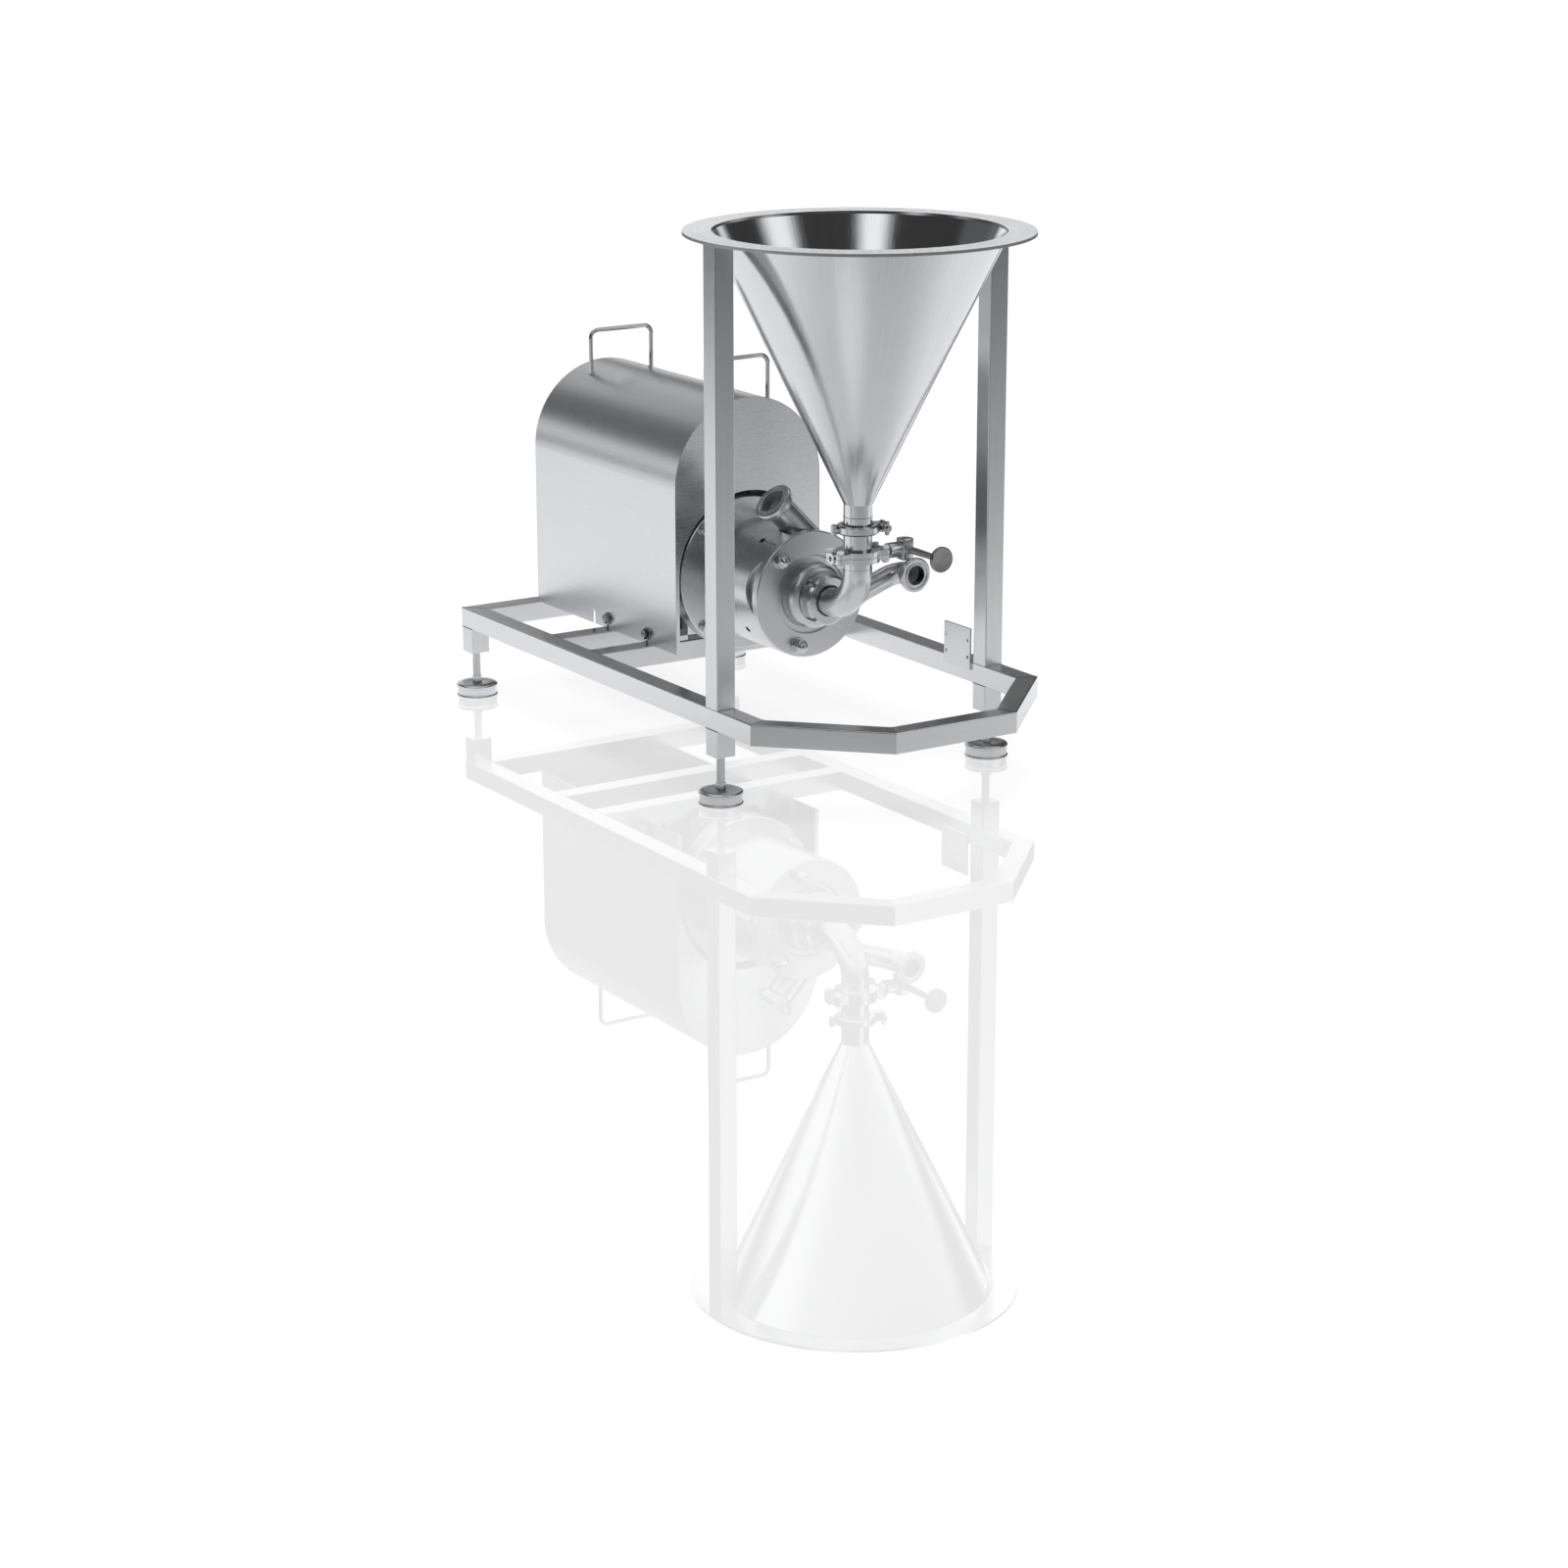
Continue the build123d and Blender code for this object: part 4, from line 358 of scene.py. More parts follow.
WELD = weld_rig()
WELD_STEEL = ground_steel("weld_steel", "x", light=0.55, dark=0.38, shine=0.34)
SEAM_STEEL = ground_steel("seam_steel", "x", light=0.30, dark=0.16, shine=0.42)
TUBE = 0.040
FRAME_HALF = 0.320
FRAME_BACK = 0.62675
SHOULDER = -0.46075
NOSE = -0.64825
NOSE_HALF = 0.1325
FRAME_BOTTOM = 0.141
DECK = 0.181
POST_Y = -0.32825
RAIL_X = 0.300
INNER_X = FRAME_HALF - TUBE
RIM_BOTTOM = 1.0205
LEG_STATIONS = {"rear": 0.60675, "front": POST_Y}
CROSSBAR_STATIONS = (0.30675, 0.15675)
BRACKET_TACKS = (-0.298, -0.268, -0.238)
TACK_LENGTH = 0.014
CROSSBAR_WELD_MARGIN = 0.003
POST_WELD_HALF = 0.017
MITRE_INSET = 0.014
SIDES = {"left": -1, "right": 1}


def circle(radius, centre, turn=(0, 0, 0), steps=48):
    """A closed ring of points about a centre; its axis is Z, turned by the given angles."""
    place = placing(centre, turn)
    return ring_of(lambda angle: place @ Vector((*polar(radius, angle), 0)), steps)


def frame_corners():
    """Each corner of the base frame with the corner of its inner outline, where the mitre ends."""
    outer = [Vector(point) for point in (
        (-FRAME_HALF, FRAME_BACK), (-FRAME_HALF, SHOULDER), (-NOSE_HALF, NOSE),
        (NOSE_HALF, NOSE), (FRAME_HALF, SHOULDER), (FRAME_HALF, FRAME_BACK))]
    corners = []
    for i, here in enumerate(outer):
        runs = [(here - outer[i - 1]).normalized(), (outer[(i + 1) % len(outer)] - here).normalized()]
        normals = [Vector((-run.y, run.x)) for run in runs]
        corners.append((here, here + (normals[0] + normals[1]) * TUBE / (1 + normals[0].dot(normals[1]))))
    return corners


def tube_edges(middle):
    """Where a tube's two faces stand, on either side of its middle."""
    return middle - TUBE / 2, middle + TUBE / 2


mitres = []
for outer, inner in frame_corners():
    edge = outer.lerp(inner, MITRE_INSET)
    mitres += [[(*edge, DECK), (*inner, DECK)], [(*edge, FRAME_BOTTOM), (*edge, DECK)]]
fillets = []
flush = []
low, high = FRAME_BOTTOM + CROSSBAR_WELD_MARGIN, DECK - CROSSBAR_WELD_MARGIN
for station in CROSSBAR_STATIONS:
    for x in (-INNER_X, INNER_X):
        fillets += [[(x, edge, low), (x, edge, high)] for edge in tube_edges(station)]
        flush.append([(x, edge, DECK) for edge in tube_edges(station)])
for side in SIDES.values():
    for edge in tube_edges(POST_Y):
        for level in (DECK, RIM_BOTTOM):
            ends = (side * RAIL_X - POST_WELD_HALF, side * RAIL_X + POST_WELD_HALF)
            fillets.append([(x, edge, level) for x in ends])
    for station in LEG_STATIONS.values():
        near, far = tube_edges(station)
        left, right = tube_edges(side * RAIL_X)
        corners = [(left, near), (right, near), (right, far), (left, far), (left, near)]
        # The dark line round each leg block's top is the tack weld and also painted shade for the gap under
        # the rail.
        flush.append([(*corner, FRAME_BOTTOM) for corner in corners])
fillets += [[(INNER_X, start, DECK), (INNER_X, start + TACK_LENGTH, DECK)] for start in BRACKET_TACKS]
weld("frame_fillet_welds", fillets, WELD_STEEL, (0.0016, 0.0024, 0.12), "machine", "frame_steel")
weld("frame_flush_seams", flush + mitres, SEAM_STEEL, (0.0004, 0.003, 0.1), "machine", "frame_steel")

# Levelling feet
# Four turned stainless pads, each crowned to shed water, on a rolled M16 screw with a hexagon for the
# spanner. The screws turn in bushes in the leg blocks, which sets the height of each corner.
FOOT_HEIGHT = 0.027
STEM_RADIUS = 0.008
STEM_ROOT = 0.0076
STEM_TOP = 0.123
STEM_SOCKET = 0.010
STEM_PITCH = 0.002
STEM_HEX = 0.017
STEM_HEX_HEIGHT = 0.013
THREAD_FOOT = FOOT_HEIGHT + STEM_HEX_HEIGHT
SHARP_EDGE = math.radians(35)
HEX_FACE = 0.96
HEX_CHAMFER = math.radians(30)
TURNED_RINGS = 2200
TURNED_BANDS = 160
BUFFED_ALONG = 22.0
BUFFED_ACROSS = 900.0
BUFFED_ROUND = 420.0


def softened(profile, reach):
    """An outline with each corner eased off over the given reach."""
    points = []
    count = len(profile)
    for i in range(count):
        here = Vector(profile[i])
        before, after = Vector(profile[i - 1]), Vector(profile[(i + 1) % count])
        near = min(reach, (before - here).length / 2.2, (after - here).length / 2.2)
        if near < 1e-6 or i in (0, count - 1) and here.x < 1e-6:
            points.append(here)
            continue
        start = here + (before - here).normalized() * near
        end = here + (after - here).normalized() * near
        for t in (0, 1 / 3, 2 / 3, 1):
            points.append(start * (1 - t) ** 2 + here * 2 * t * (1 - t) + end * t ** 2)
    return points


def mesh_of(shape, sharp=None):
    """A plain mesh of a working one, smooth up to the sharp angle if that is given."""
    mesh = bpy.data.meshes.new("shape")
    shape.to_mesh(mesh)
    shape.free()
    if sharp:
        mesh.shade_smooth()
        mesh.set_sharp_from_angle(angle=sharp)
    return mesh


def skin(rings, closed=False):
    """A mesh through rings of points. Open ends are capped, and a closed row joins its last to its first."""
    shape = bmesh.new()
    rows = [[shape.verts.new(point) for point in ring] for ring in rings]
    count = len(rows[0])
    pairs = list(zip(rows, rows[1:])) + ([(rows[-1], rows[0])] if closed else [])
    for low, high in pairs:
        for i in range(count):
            j = (i + 1) % count
            shape.faces.new((low[i], low[j], high[j], high[i]))
    if not closed:
        for row in (rows[0], rows[-1]):
            shape.faces.new(row)
    bmesh.ops.remove_doubles(shape, verts=shape.verts, dist=1e-7)
    bmesh.ops.dissolve_degenerate(shape, edges=shape.edges, dist=1e-7)
    bmesh.ops.recalc_face_normals(shape, faces=shape.faces)
    return mesh_of(shape, SHARP_EDGE)


def lathe(profile, sides=64, ease=0.0):
    """A turned shape about Z from an outline of (radius, height) points. It is solid if the outline
    starts on the axis, and otherwise closes on itself."""
    if ease:
        profile = softened(profile, ease)
    angles = turn_angles(sides)
    rings = [[(*polar(radius, angle), height) for angle in angles] for radius, height in profile]
    return skin(rings, closed=profile[0][0] > 0)


def hex_head(flats, low, height):
    """A hexagon that stands on a height, its end faces chamfered round as a milled nut's are."""
    inner = flats / 2 * HEX_FACE
    angles = turn_angles(36)
    face = [inner] * len(angles)
    sixth = math.pi / 3
    outline = [flats / 2 / math.cos((angle + sixth / 2) % sixth - sixth / 2) for angle in angles]

    def ring(reaches, level, way):
        return [(*polar(reach, angle), level + way * (reach - inner) * math.tan(HEX_CHAMFER))
                for reach, angle in zip(reaches, angles)]

    high = low + height
    return skin([ring(face, low, 1), ring(outline, low, 1), ring(outline, high, -1), ring(face, high, -1)])


def merged(*meshes):
    """Several meshes as one."""
    shape = bmesh.new()
    for mesh in meshes:
        shape.from_mesh(mesh)
    return mesh_of(shape)


def placed(mesh, centre, turn=(0, 0, 0)):
    """A copy of a mesh turned about its origin and then moved."""
    copy = mesh.copy()
    copy.transform(placing(centre, turn))
    return copy


def thread_rig():
    """Winds a rolled thread round the mesh that it is given."""
    rig = Rig("rolled_thread", Root="Float", Depth="Float", Pitch="Float", Length="Float", Start="Vector",
              Finish="Material")
    turns = rig.size("Length") / rig.size("Pitch")
    helix = rig.node("GeometryNodeCurveSpiral", {},
                     {"Resolution": 20, "Rotations": turns, "Start Radius": rig.size("Root"),
                      "End Radius": rig.size("Root"), "Height": rig.size("Length")})
    helix = rig.node("GeometryNodeTransform", {}, {"Geometry": helix, "Translation": rig.size("Start")})
    helix = rig.node("GeometryNodeSetCurveNormal", {"mode": "Z_UP"}, {"Curve": helix})
    ridge = rig.node("GeometryNodeCurvePrimitiveCircle", {}, {"Resolution": 4, "Radius": 1.0})
    thread = rig.node("GeometryNodeCurveToMesh", {},
                      {"Curve": helix, "Profile Curve": ridge, "Scale": rig.size("Depth"), "Fill Caps": True})
    thread = rig.node("GeometryNodeSetShadeSmooth", {}, {"Geometry": thread, "Shade Smooth": False})
    joined = rig.node("GeometryNodeJoinGeometry", {}, {0: rig.mesh})
    plug(joined.socket.node.inputs[0], thread)
    rig.finish(joined)
    return rig


def painted_bore_light(finish, foot, turn, radius, start, end):
    """A mask of a pipe's bore, where the colour is painted lighter: painted light inside the shaded bore."""
    reach, height = finish.about(tuple(foot), turn)
    inside = finish.eased(reach, radius + 0.0002, radius + 0.0008, 1.0, 0.0)
    past_start = finish.eased(height, start, start + 0.004)
    return inside * past_start * finish.eased(height, end, end + 0.004, 1.0, 0.0)


def turned_steel(name, centre, turn=(0, 0, 0), *, light, dark, shine, edge=0.0004, depth=0.00006,
                 bore=None):
    """Stainless turned in a lathe: fine rings about the piece's own axis, under a light polish. A bore is
    (foot, turn, radius, start, end) of a pipe in the piece, whose inside gets painted light."""
    finish = Finish(name, edge, Metallic=1.0)
    radius, height = finish.about(tuple(centre), turn)
    rings = finish.noise(finish.vector(radius * TURNED_RINGS, height * TURNED_RINGS, 0), detail=2.0)
    bands = finish.noise(finish.vector(radius * TURNED_BANDS, height * TURNED_BANDS, 0), detail=2.0)
    wear = finish.wear()
    colour = rings * 0.5 + wear * 0.5
    rough = rings * 0.10 + bands * 0.06 + wear * 0.08 + (shine - 0.12)
    if bore:
        # Painted light: the bore's colour is made lighter and its metal share lower, so its shaded inside
        # reads light.
        inside = painted_bore_light(finish, *bore)
        colour = colour + inside * 2.5
        rough = rough + inside * 0.3
        finish.set(Metallic=1 - inside * 0.35)
    return finish.surface(colour, (dark, light), rough, rings, depth)


def polished_steel(name, run=None, *, light=0.66, dark=0.58, shine, edge=0.0005):
    """Ground and then buffed stainless, with faint marks along one run, or round about without one."""
    finish = Finish(name, edge, Metallic=1.0)
    scale = [BUFFED_ROUND] * 3
    if run:
        scale = [BUFFED_ALONG if letter == run else BUFFED_ACROSS for letter in "xyz"]
    marks = finish.noise(finish.local(), scale, 2.0)
    wear = finish.wear()
    return finish.surface(marks * 0.4 + wear * 0.6, (dark, light),
                          marks * 0.06 + wear * 0.10 + (shine - 0.08), marks, 0.00003)


THREAD = thread_rig()
pad = lathe([
    (0, STEM_SOCKET), (0.0079, STEM_SOCKET), (0.0079, 0.0262), (0.0088, FOOT_HEIGHT), (0.030, FOOT_HEIGHT),
    (0.0385, 0.0258), (0.0415, 0.0232), (0.0415, 0.0190), (0.0392, 0.0180), (0.0390, 0.0042),
    (0.0415, 0.0030), (0.0415, 0.0), (0, 0)], sides=72, ease=0.0008)
stem_core = lathe([(0, STEM_SOCKET), (STEM_ROOT, STEM_SOCKET), (STEM_ROOT, STEM_TOP), (0, STEM_TOP)],
                  sides=20)
collar = hex_head(STEM_HEX, FOOT_HEIGHT, STEM_HEX_HEIGHT)
for end, station in LEG_STATIONS.items():
    for side_name, side in SIDES.items():
        place = (side * RAIL_X, station, 0)
        finish = turned_steel(f"foot_steel_{end}_{side_name}", place, light=0.70, dark=0.60, shine=0.30)
        solid = placed(merged(pad, stem_core, collar), place)
        foot = THREAD.run(solid, Root=STEM_ROOT, Depth=STEM_RADIUS - STEM_ROOT, Pitch=STEM_PITCH,
                          Length=STEM_TOP - THREAD_FOOT, Start=(*place[:2], THREAD_FOOT - STEM_PITCH / 2),
                          Finish=finish)
        name = f"foot_{end}_{side_name}"
        put(name + "_screw", foot, name, "foot_steel", name)

# Hopper
# A cone rolled from 2 mm sheet, welded along one seam, ground and buffed inside and out, under a flat
# ring cut from plate. Its foot is drawn into the pipe size and ends in a weld ferrule.
HOPPER = (0, POST_Y, 0)
CONE_FOOT = 0.525
CONE_TOP_RADIUS = 0.2697
CONE_SEAM_TURN = math.radians(140)
NECK_SEAM = 0.501
PIPE_RADIUS = 0.027


def cone_steel(name, light, dark, shine):
    """Buffed sheet whose faint marks run up the cone."""
    finish = Finish(name, Metallic=1.0)
    x, y, height = finish.parts(finish.local(HOPPER))
    radius = (x * x + y * y) ** 0.5
    marks = finish.noise(finish.vector(x / radius * 90, y / radius * 90, height * 4))
    fine = finish.noise(finish.vector(x / radius * 420, y / radius * 420, height * 14), detail=2.0)
    wear = finish.wear()
    return finish.surface(marks * 0.35 + fine * 0.35 + wear * 0.3, (dark, light),
                          fine * 0.07 + marks * 0.05 + wear * 0.08 + (shine - 0.10),
                          marks * 0.5 + fine * 0.5, 0.00008)


dress(cone_steel("cone_steel", 0.73, 0.55, 0.11), "hopper_cone")
dress(turned_steel("rim_steel", HOPPER, light=0.80, dark=0.72, shine=0.17, edge=0.0003), "hopper_rim")
seam = []
for level, radius in ((CONE_FOOT, PIPE_RADIUS), (RIM_BOTTOM, CONE_TOP_RADIUS)):
    back, across = polar(radius, CONE_SEAM_TURN)
    seam.append((across, POST_Y + back, level))
hopper_seams = [seam, circle(CONE_TOP_RADIUS, (0, POST_Y, RIM_BOTTOM), steps=120),
                circle(PIPE_RADIUS, (0, POST_Y, NECK_SEAM))]
weld("hopper_seams", hopper_seams, SEAM_STEEL, (0.0006, 0.004, 0.15), "machine", "hopper_steel")

# Hopper clamp
# A two-piece investment-cast clamp, hinged on a pin and drawn up by a swing bolt with a wing nut, which
# squeezes the two weld ferrules onto a black rubber gasket.
def cast_steel(name, light=0.66, dark=0.52, shine=0.20, grain=0.00010):
    """Cast stainless, blasted and then tumbled bright: a faint skin of shallow dimples."""
    finish = Finish(name, 0.0007, Metallic=1.0)
    dimples = finish.noise(finish.local(), (700, 700, 700))
    wear = finish.wear()
    return finish.surface(dimples * 0.4 + wear * 0.6, (dark, light),
                          dimples * 0.10 + wear * 0.10 + (shine - 0.10), dimples, grain)


def rubber(name, level=0.022):
    """Moulded black rubber with a fine matt skin and a little dust."""
    finish = Finish(name, 0.0003, Metallic=0.0)
    grain = finish.noise(finish.local(), (1400, 1400, 1400), 2.0)
    wear = finish.wear()
    return finish.surface(wear, (level, level * 1.8), grain * 0.12 + wear * 0.15 + 0.50, grain, 0.00006)


dress(cast_steel("clamp_cast_steel"), "clamp_rear_half", "clamp_front_half", "clamp_wing_nut")
dress(polished_steel("pin_steel", "z", light=0.60, dark=0.50, shine=0.16), "clamp_pins", "clamp_swing_bolt")
dress(rubber("gasket_rubber"), "clamp_gasket", "cover_seal", "suction_seal")

# Butterfly valve
# Two forged halves screwed together round a rubber seat, with a disc on a shaft. A hand lever turns the
# disc: a hub, a square block and an arm that ends in a turned knob.
VALVE = (0, POST_Y, 0.428)
VALVE_FACE = 0.009
VALVE_HEX = 0.013
VALVE_HEAD = 0.006
VALVE_SCREWS = [(x, POST_Y + y) for x in (-0.050, 0.050) for y in (-0.017, 0.017)]
LEVER_PLACE = (0.106, POST_Y, VALVE[2])
KNOB_PLACE = (0.106, POST_Y - 0.112, VALVE[2])
ALONG_X = (0, math.radians(90), 0)
TO_FRONT = (math.radians(90), 0, 0)


def fixing_rig():
    """Sets one fixing at each point, aimed along the point's own direction and turned as it came up."""
    rig = Rig("fixings", Fixing="Object", Seed="Int", Finish="Material")
    aim = rig.node("GeometryNodeInputNamedAttribute", {"data_type": "FLOAT_VECTOR"}, {"Name": "aim"})
    aimed = rig.node("FunctionNodeAlignRotationToVector", {"axis": "Z"}, {"Vector": aim})
    angle = rig.node("FunctionNodeRandomValue", {"data_type": "FLOAT"},
                     {2: 0.0, 3: math.tau, 8: rig.size("Seed")}, output=1)
    spin = rig.node("FunctionNodeAxisAngleToRotation", {}, {"Axis": (0, 0, 1), "Angle": angle})
    turned = rig.node("FunctionNodeRotateRotation", {"rotation_space": "LOCAL"},
                      {"Rotation": aimed, "Rotate By": spin})
    part = rig.node("GeometryNodeObjectInfo", {}, {"Object": rig.size("Fixing")}, output="Geometry")
    rig.finish(rig.node("GeometryNodeInstanceOnPoints", {},
                        {"Points": rig.mesh, "Instance": part, "Rotation": turned}))
    return rig


FIXING = fixing_rig()


def fixings(mesh, places, finish, seed):
    """Copies of one fixing at (point, direction) places, as one mesh."""
    spots = bpy.data.meshes.new("places")
    spots.from_pydata([point for point, aim in places], [], [])
    aims = spots.attributes.new("aim", "FLOAT_VECTOR", "POINT")
    for row, (point, aim) in zip(aims.data, places):
        row.vector = aim
    part = add_object("fixing", mesh)
    made = FIXING.run(spots, Fixing=part, Seed=seed, Finish=finish)
    bpy.data.objects.remove(part)
    return made


def washer(radius, bore, low, thickness):
    """A plain washer that lies on a height."""
    return lathe([(bore, low), (radius, low), (radius, low + thickness), (bore, low + thickness)],
                 sides=40, ease=0.0006)


def shank(radius, low, high):
    """The plain round bar of a screw or a stub."""
    return lathe([(0, low), (radius, low), (radius, high), (0, high)], sides=20, ease=0.0005)


dress(cast_steel("valve_forged_steel", light=0.68, dark=0.56, shine=0.16, grain=0.00005),
      "valve_upper_body", "valve_lower_body")
dress(rubber("valve_seat_rubber"), "valve_seal")
dress(polished_steel("disc_steel", "x", shine=0.12), "valve_disc")
FIXING_STEEL = polished_steel("fixing_steel", light=0.74, dark=0.60, shine=0.27)
screw_steel = polished_steel("valve_screw_steel", light=0.46, dark=0.30, shine=0.2)
screws = []
for way, seed, bar in ((1, 3, shank(0.004, -0.018, 0.001)), (-1, 5, shank(0.004, 0.0055, 0.008))):
    spots = [((*spot, VALVE[2] + way * VALVE_FACE), (0, 0, way)) for spot in VALVE_SCREWS]
    screws.append(fixings(merged(hex_head(VALVE_HEX, 0, VALVE_HEAD), bar), spots, screw_steel, seed))
put("valve_hex_screws", merged(*screws), "machine", "fastener_steel", "valve_screws")


def lever_steel():
    """Satin cast steel on the lever. The knob is turned in fine rings and darker."""
    finish = Finish("lever_steel", 0.0008, Metallic=1.0)
    radius, height = finish.about(KNOB_PLACE, TO_FRONT)
    rings = finish.noise(finish.vector(radius * 2600, 0, 0), detail=1.0)
    dimples = finish.noise(finish.local(), (520, 520, 520))
    on_knob = finish.eased(height, -0.0005, 0.0005)
    wear = finish.wear()
    marks = rings * on_knob + dimples * (1 - on_knob) * 0.35
    worn = marks * 0.5 + wear * 0.5
    brightness = (worn * 0.4 + 0.6) * (1 - on_knob) + (worn * 0.5 - 0.08) * on_knob
    return finish.surface(brightness, (0.20, 0.76), marks * 0.08 + wear * 0.10 + 0.18, marks, 0.00018)


def rounded_block(size, centre, reach):
    """A forged block with its edges rounded."""
    shape = bmesh.new()
    bmesh.ops.create_cube(shape, size=1.0)
    bmesh.ops.scale(shape, vec=size, verts=shape.verts)
    bmesh.ops.bevel(shape, geom=shape.edges, offset=reach, segments=3, profile=0.5, affect="EDGES")
    bmesh.ops.translate(shape, vec=centre, verts=shape.verts)
    bmesh.ops.recalc_face_normals(shape, faces=shape.faces)
    return mesh_of(shape, math.radians(40))


hub = lathe([
    (0.0051, 0.066), (0.0145, 0.066), (0.0145, 0.0885), (0.0128, 0.0885), (0.0128, 0.0905), (0.0145, 0.0905),
    (0.0145, 0.0930), (0.0105, 0.0930), (0.0105, 0.0950), (0.0051, 0.0950)], ease=0.0008)
block = merged(rounded_block((0.024, 0.026, 0.042), LEVER_PLACE, 0.0035),
               placed(shank(0.0050, 0.094, 0.1188), VALVE, ALONG_X))
arm = lathe([
    (0, 0.010), (0.0085, 0.010), (0.0085, 0.016), (0.0070, 0.018), (0.0056, 0.1115), (0, 0.1115)],
    sides=40, ease=0.001)
knob = lathe([
    (0, 0), (0.0225, 0), (0.0240, 0.0015), (0.0240, 0.0068), (0.0222, 0.0088), (0.0215, 0.0083),
    (0.004, 0.0080), (0, 0.0080)], sides=96, ease=0.0006)
lever_finish = lever_steel()
for name, mesh in (("lever_hub", placed(hub, VALVE, ALONG_X)), ("lever_block", block),
                   ("lever_arm", placed(arm, LEVER_PLACE, TO_FRONT)),
                   ("lever_knob", placed(knob, KNOB_PLACE, TO_FRONT))):
    mesh.materials.clear()
    mesh.materials.append(lever_finish)
    put(name, mesh, "valve", "lever_steel", "valve_lever")

# Suction bend and liquid branch
# Bright dairy tube: a bend that carries the powder down into the pump, with a slanted branch let into
# its side and saddle-welded, which brings the liquid. A slotted union nut draws the bend to the pump.
AXIS = 0.323
BEND_RADIUS = 0.080
BEND_CENTRE = (0, POST_Y + BEND_RADIUS, AXIS + BEND_RADIUS)
BRANCH_RADIUS = 0.0205
BRANCH_RUN = 0.104
BRANCH_RISE = BRANCH_RUN * math.tan(math.radians(20))
BRANCH_FOOT = Vector((0, -0.31125, 0.3465))
BRANCH_END = Vector((BRANCH_RUN, -0.36825, BRANCH_FOOT.z + BRANCH_RISE))
INLET_BORE = 0.0185
INLET_SEAM = 0.020
TO_BACK = (math.radians(-90), 0, 0)


def pipe_steel():
    """Bright drawn tube, with faint marks across and along it, and painted light in the bore of its inlet
    end.
    """
    finish = Finish("pipe_steel", 0.0004, Metallic=1.0)
    point = finish.local()
    marks = finish.noise(point, (500, 60, 60), 2.0) * 0.5 + finish.noise(point, (60, 500, 500), 2.0) * 0.5
    wear = finish.wear()
    # Painted light: the inlet bore's colour is made lighter and its metal share lower, so its shaded inside
    # reads light.
    bore = painted_bore_light(finish, BRANCH_END, TO_BACK, INLET_BORE, -0.002, 0.045)
    finish.set(Metallic=1 - bore * 0.35)
    return finish.surface(marks * 0.3 + wear * 0.4 + bore * 2.4, (0.64, 0.74),
                          marks * 0.05 + wear * 0.08 + bore * 0.2 + 0.22, marks, 0.00004)


def end_profile(bore, pipe, thread, step, length):
    """Outline of a screwed end from its face back: lip, seal groove, broad rim, step and neck."""
    lip = bore + 0.0032
    groove = lip + 0.0036
    return [
        (bore, 0.0004), (bore + 0.0006, 0), (lip, 0), (lip + 0.0004, 0.0028), (groove, 0.0028),
        (groove + 0.0004, 0), (thread - 0.0020, 0), (thread, 0.0018), (thread, length * 0.52),
        (step, length * 0.56), (step, length), (pipe + 0.0020, length + 0.0010), (pipe, length + 0.0058),
        (pipe, length + 0.0060), (bore, length + 0.0060)]


def saddle_point(angle):
    """A point of the line along which the branch meets the bend, found by halving."""
    run = Vector((BRANCH_RUN, 0, BRANCH_RISE)).normalized()
    across = Vector((0, 1, 0))
    base = BRANCH_FOOT + (across * math.cos(angle) + run.cross(across) * math.sin(angle)) * BRANCH_RADIUS
    low, high = 0.0, 0.060
    for _ in range(30):
        middle = (low + high) / 2
        point = base + run * middle
        around = math.hypot(point.y - BEND_CENTRE[1], point.z - BEND_CENTRE[2]) - BEND_RADIUS
        inside = math.hypot(around, point.x) < PIPE_RADIUS
        low, high = (middle, high) if inside else (low, middle)
    return base + run * low


dress(pipe_steel(), "suction_elbow", "liquid_branch")
dress(turned_steel("union_steel", (0, 0, AXIS), TO_FRONT, light=0.70, dark=0.58, shine=0.25, edge=0.0008),
      "suction_union_nut")
inlet = lathe(end_profile(INLET_BORE, BRANCH_RADIUS, 0.0325, 0.0300, 0.014), sides=72, ease=0.0005)
inlet = placed(inlet, BRANCH_END, TO_BACK)
inlet.materials.append(turned_steel("inlet_steel", BRANCH_END, TO_BACK, light=0.70, dark=0.58, shine=0.20))
put("liquid_inlet_ring", inlet, "machine", "pump_steel", "liquid_inlet_end")
pipe_seams = [
    circle(PIPE_RADIUS, (0, POST_Y, AXIS + BEND_RADIUS)),
    circle(PIPE_RADIUS, (0, POST_Y + BEND_RADIUS, AXIS), TO_FRONT),
    circle(BRANCH_RADIUS, BRANCH_END + Vector((0, INLET_SEAM, 0)), TO_FRONT),
]
weld("pipe_seams", pipe_seams, SEAM_STEEL, (0.0003, 0.003, 0.1), "machine", "pump_steel")
weld("branch_saddle_weld", [ring_of(saddle_point, 72)], WELD_STEEL, (0.0010, 0.0024, 0.12),
     "machine", "pump_steel")

# Pump casing and cover
# A pressed and turned casing behind a thick round cover, held by three domed nuts on studs. The outlet
# leaves the casing at a tangent, up to the left, and ends in a screwed rim.
DRIVE = (0, 0, AXIS)
COVER_FACE = -0.17125
STUD_RADIUS = 0.100
STUD_ANGLES = (133, 253, 13)
DOME_RADIUS = 0.011
DOME_FOOT = 0.016
OUTLET_TURN = math.radians(45)
CASING_RADIUS = 0.113
OUTLET_Y = -0.12325
OUTLET_LENGTH = 0.165
OUTLET_BORE = 0.025
OUTLET_SEAM = 0.022


def around_drive(radius, angle, y):
    """The place at an angle in degrees round the drive's axis."""
    across, rise = polar(radius, math.radians(angle))
    return (across, y, AXIS + rise)


def drive_spots(radius, angles, y):
    """Places of fixings round the drive's axis, all aimed to the front."""
    return [(around_drive(radius, angle, y), (0, -1, 0)) for angle in angles]


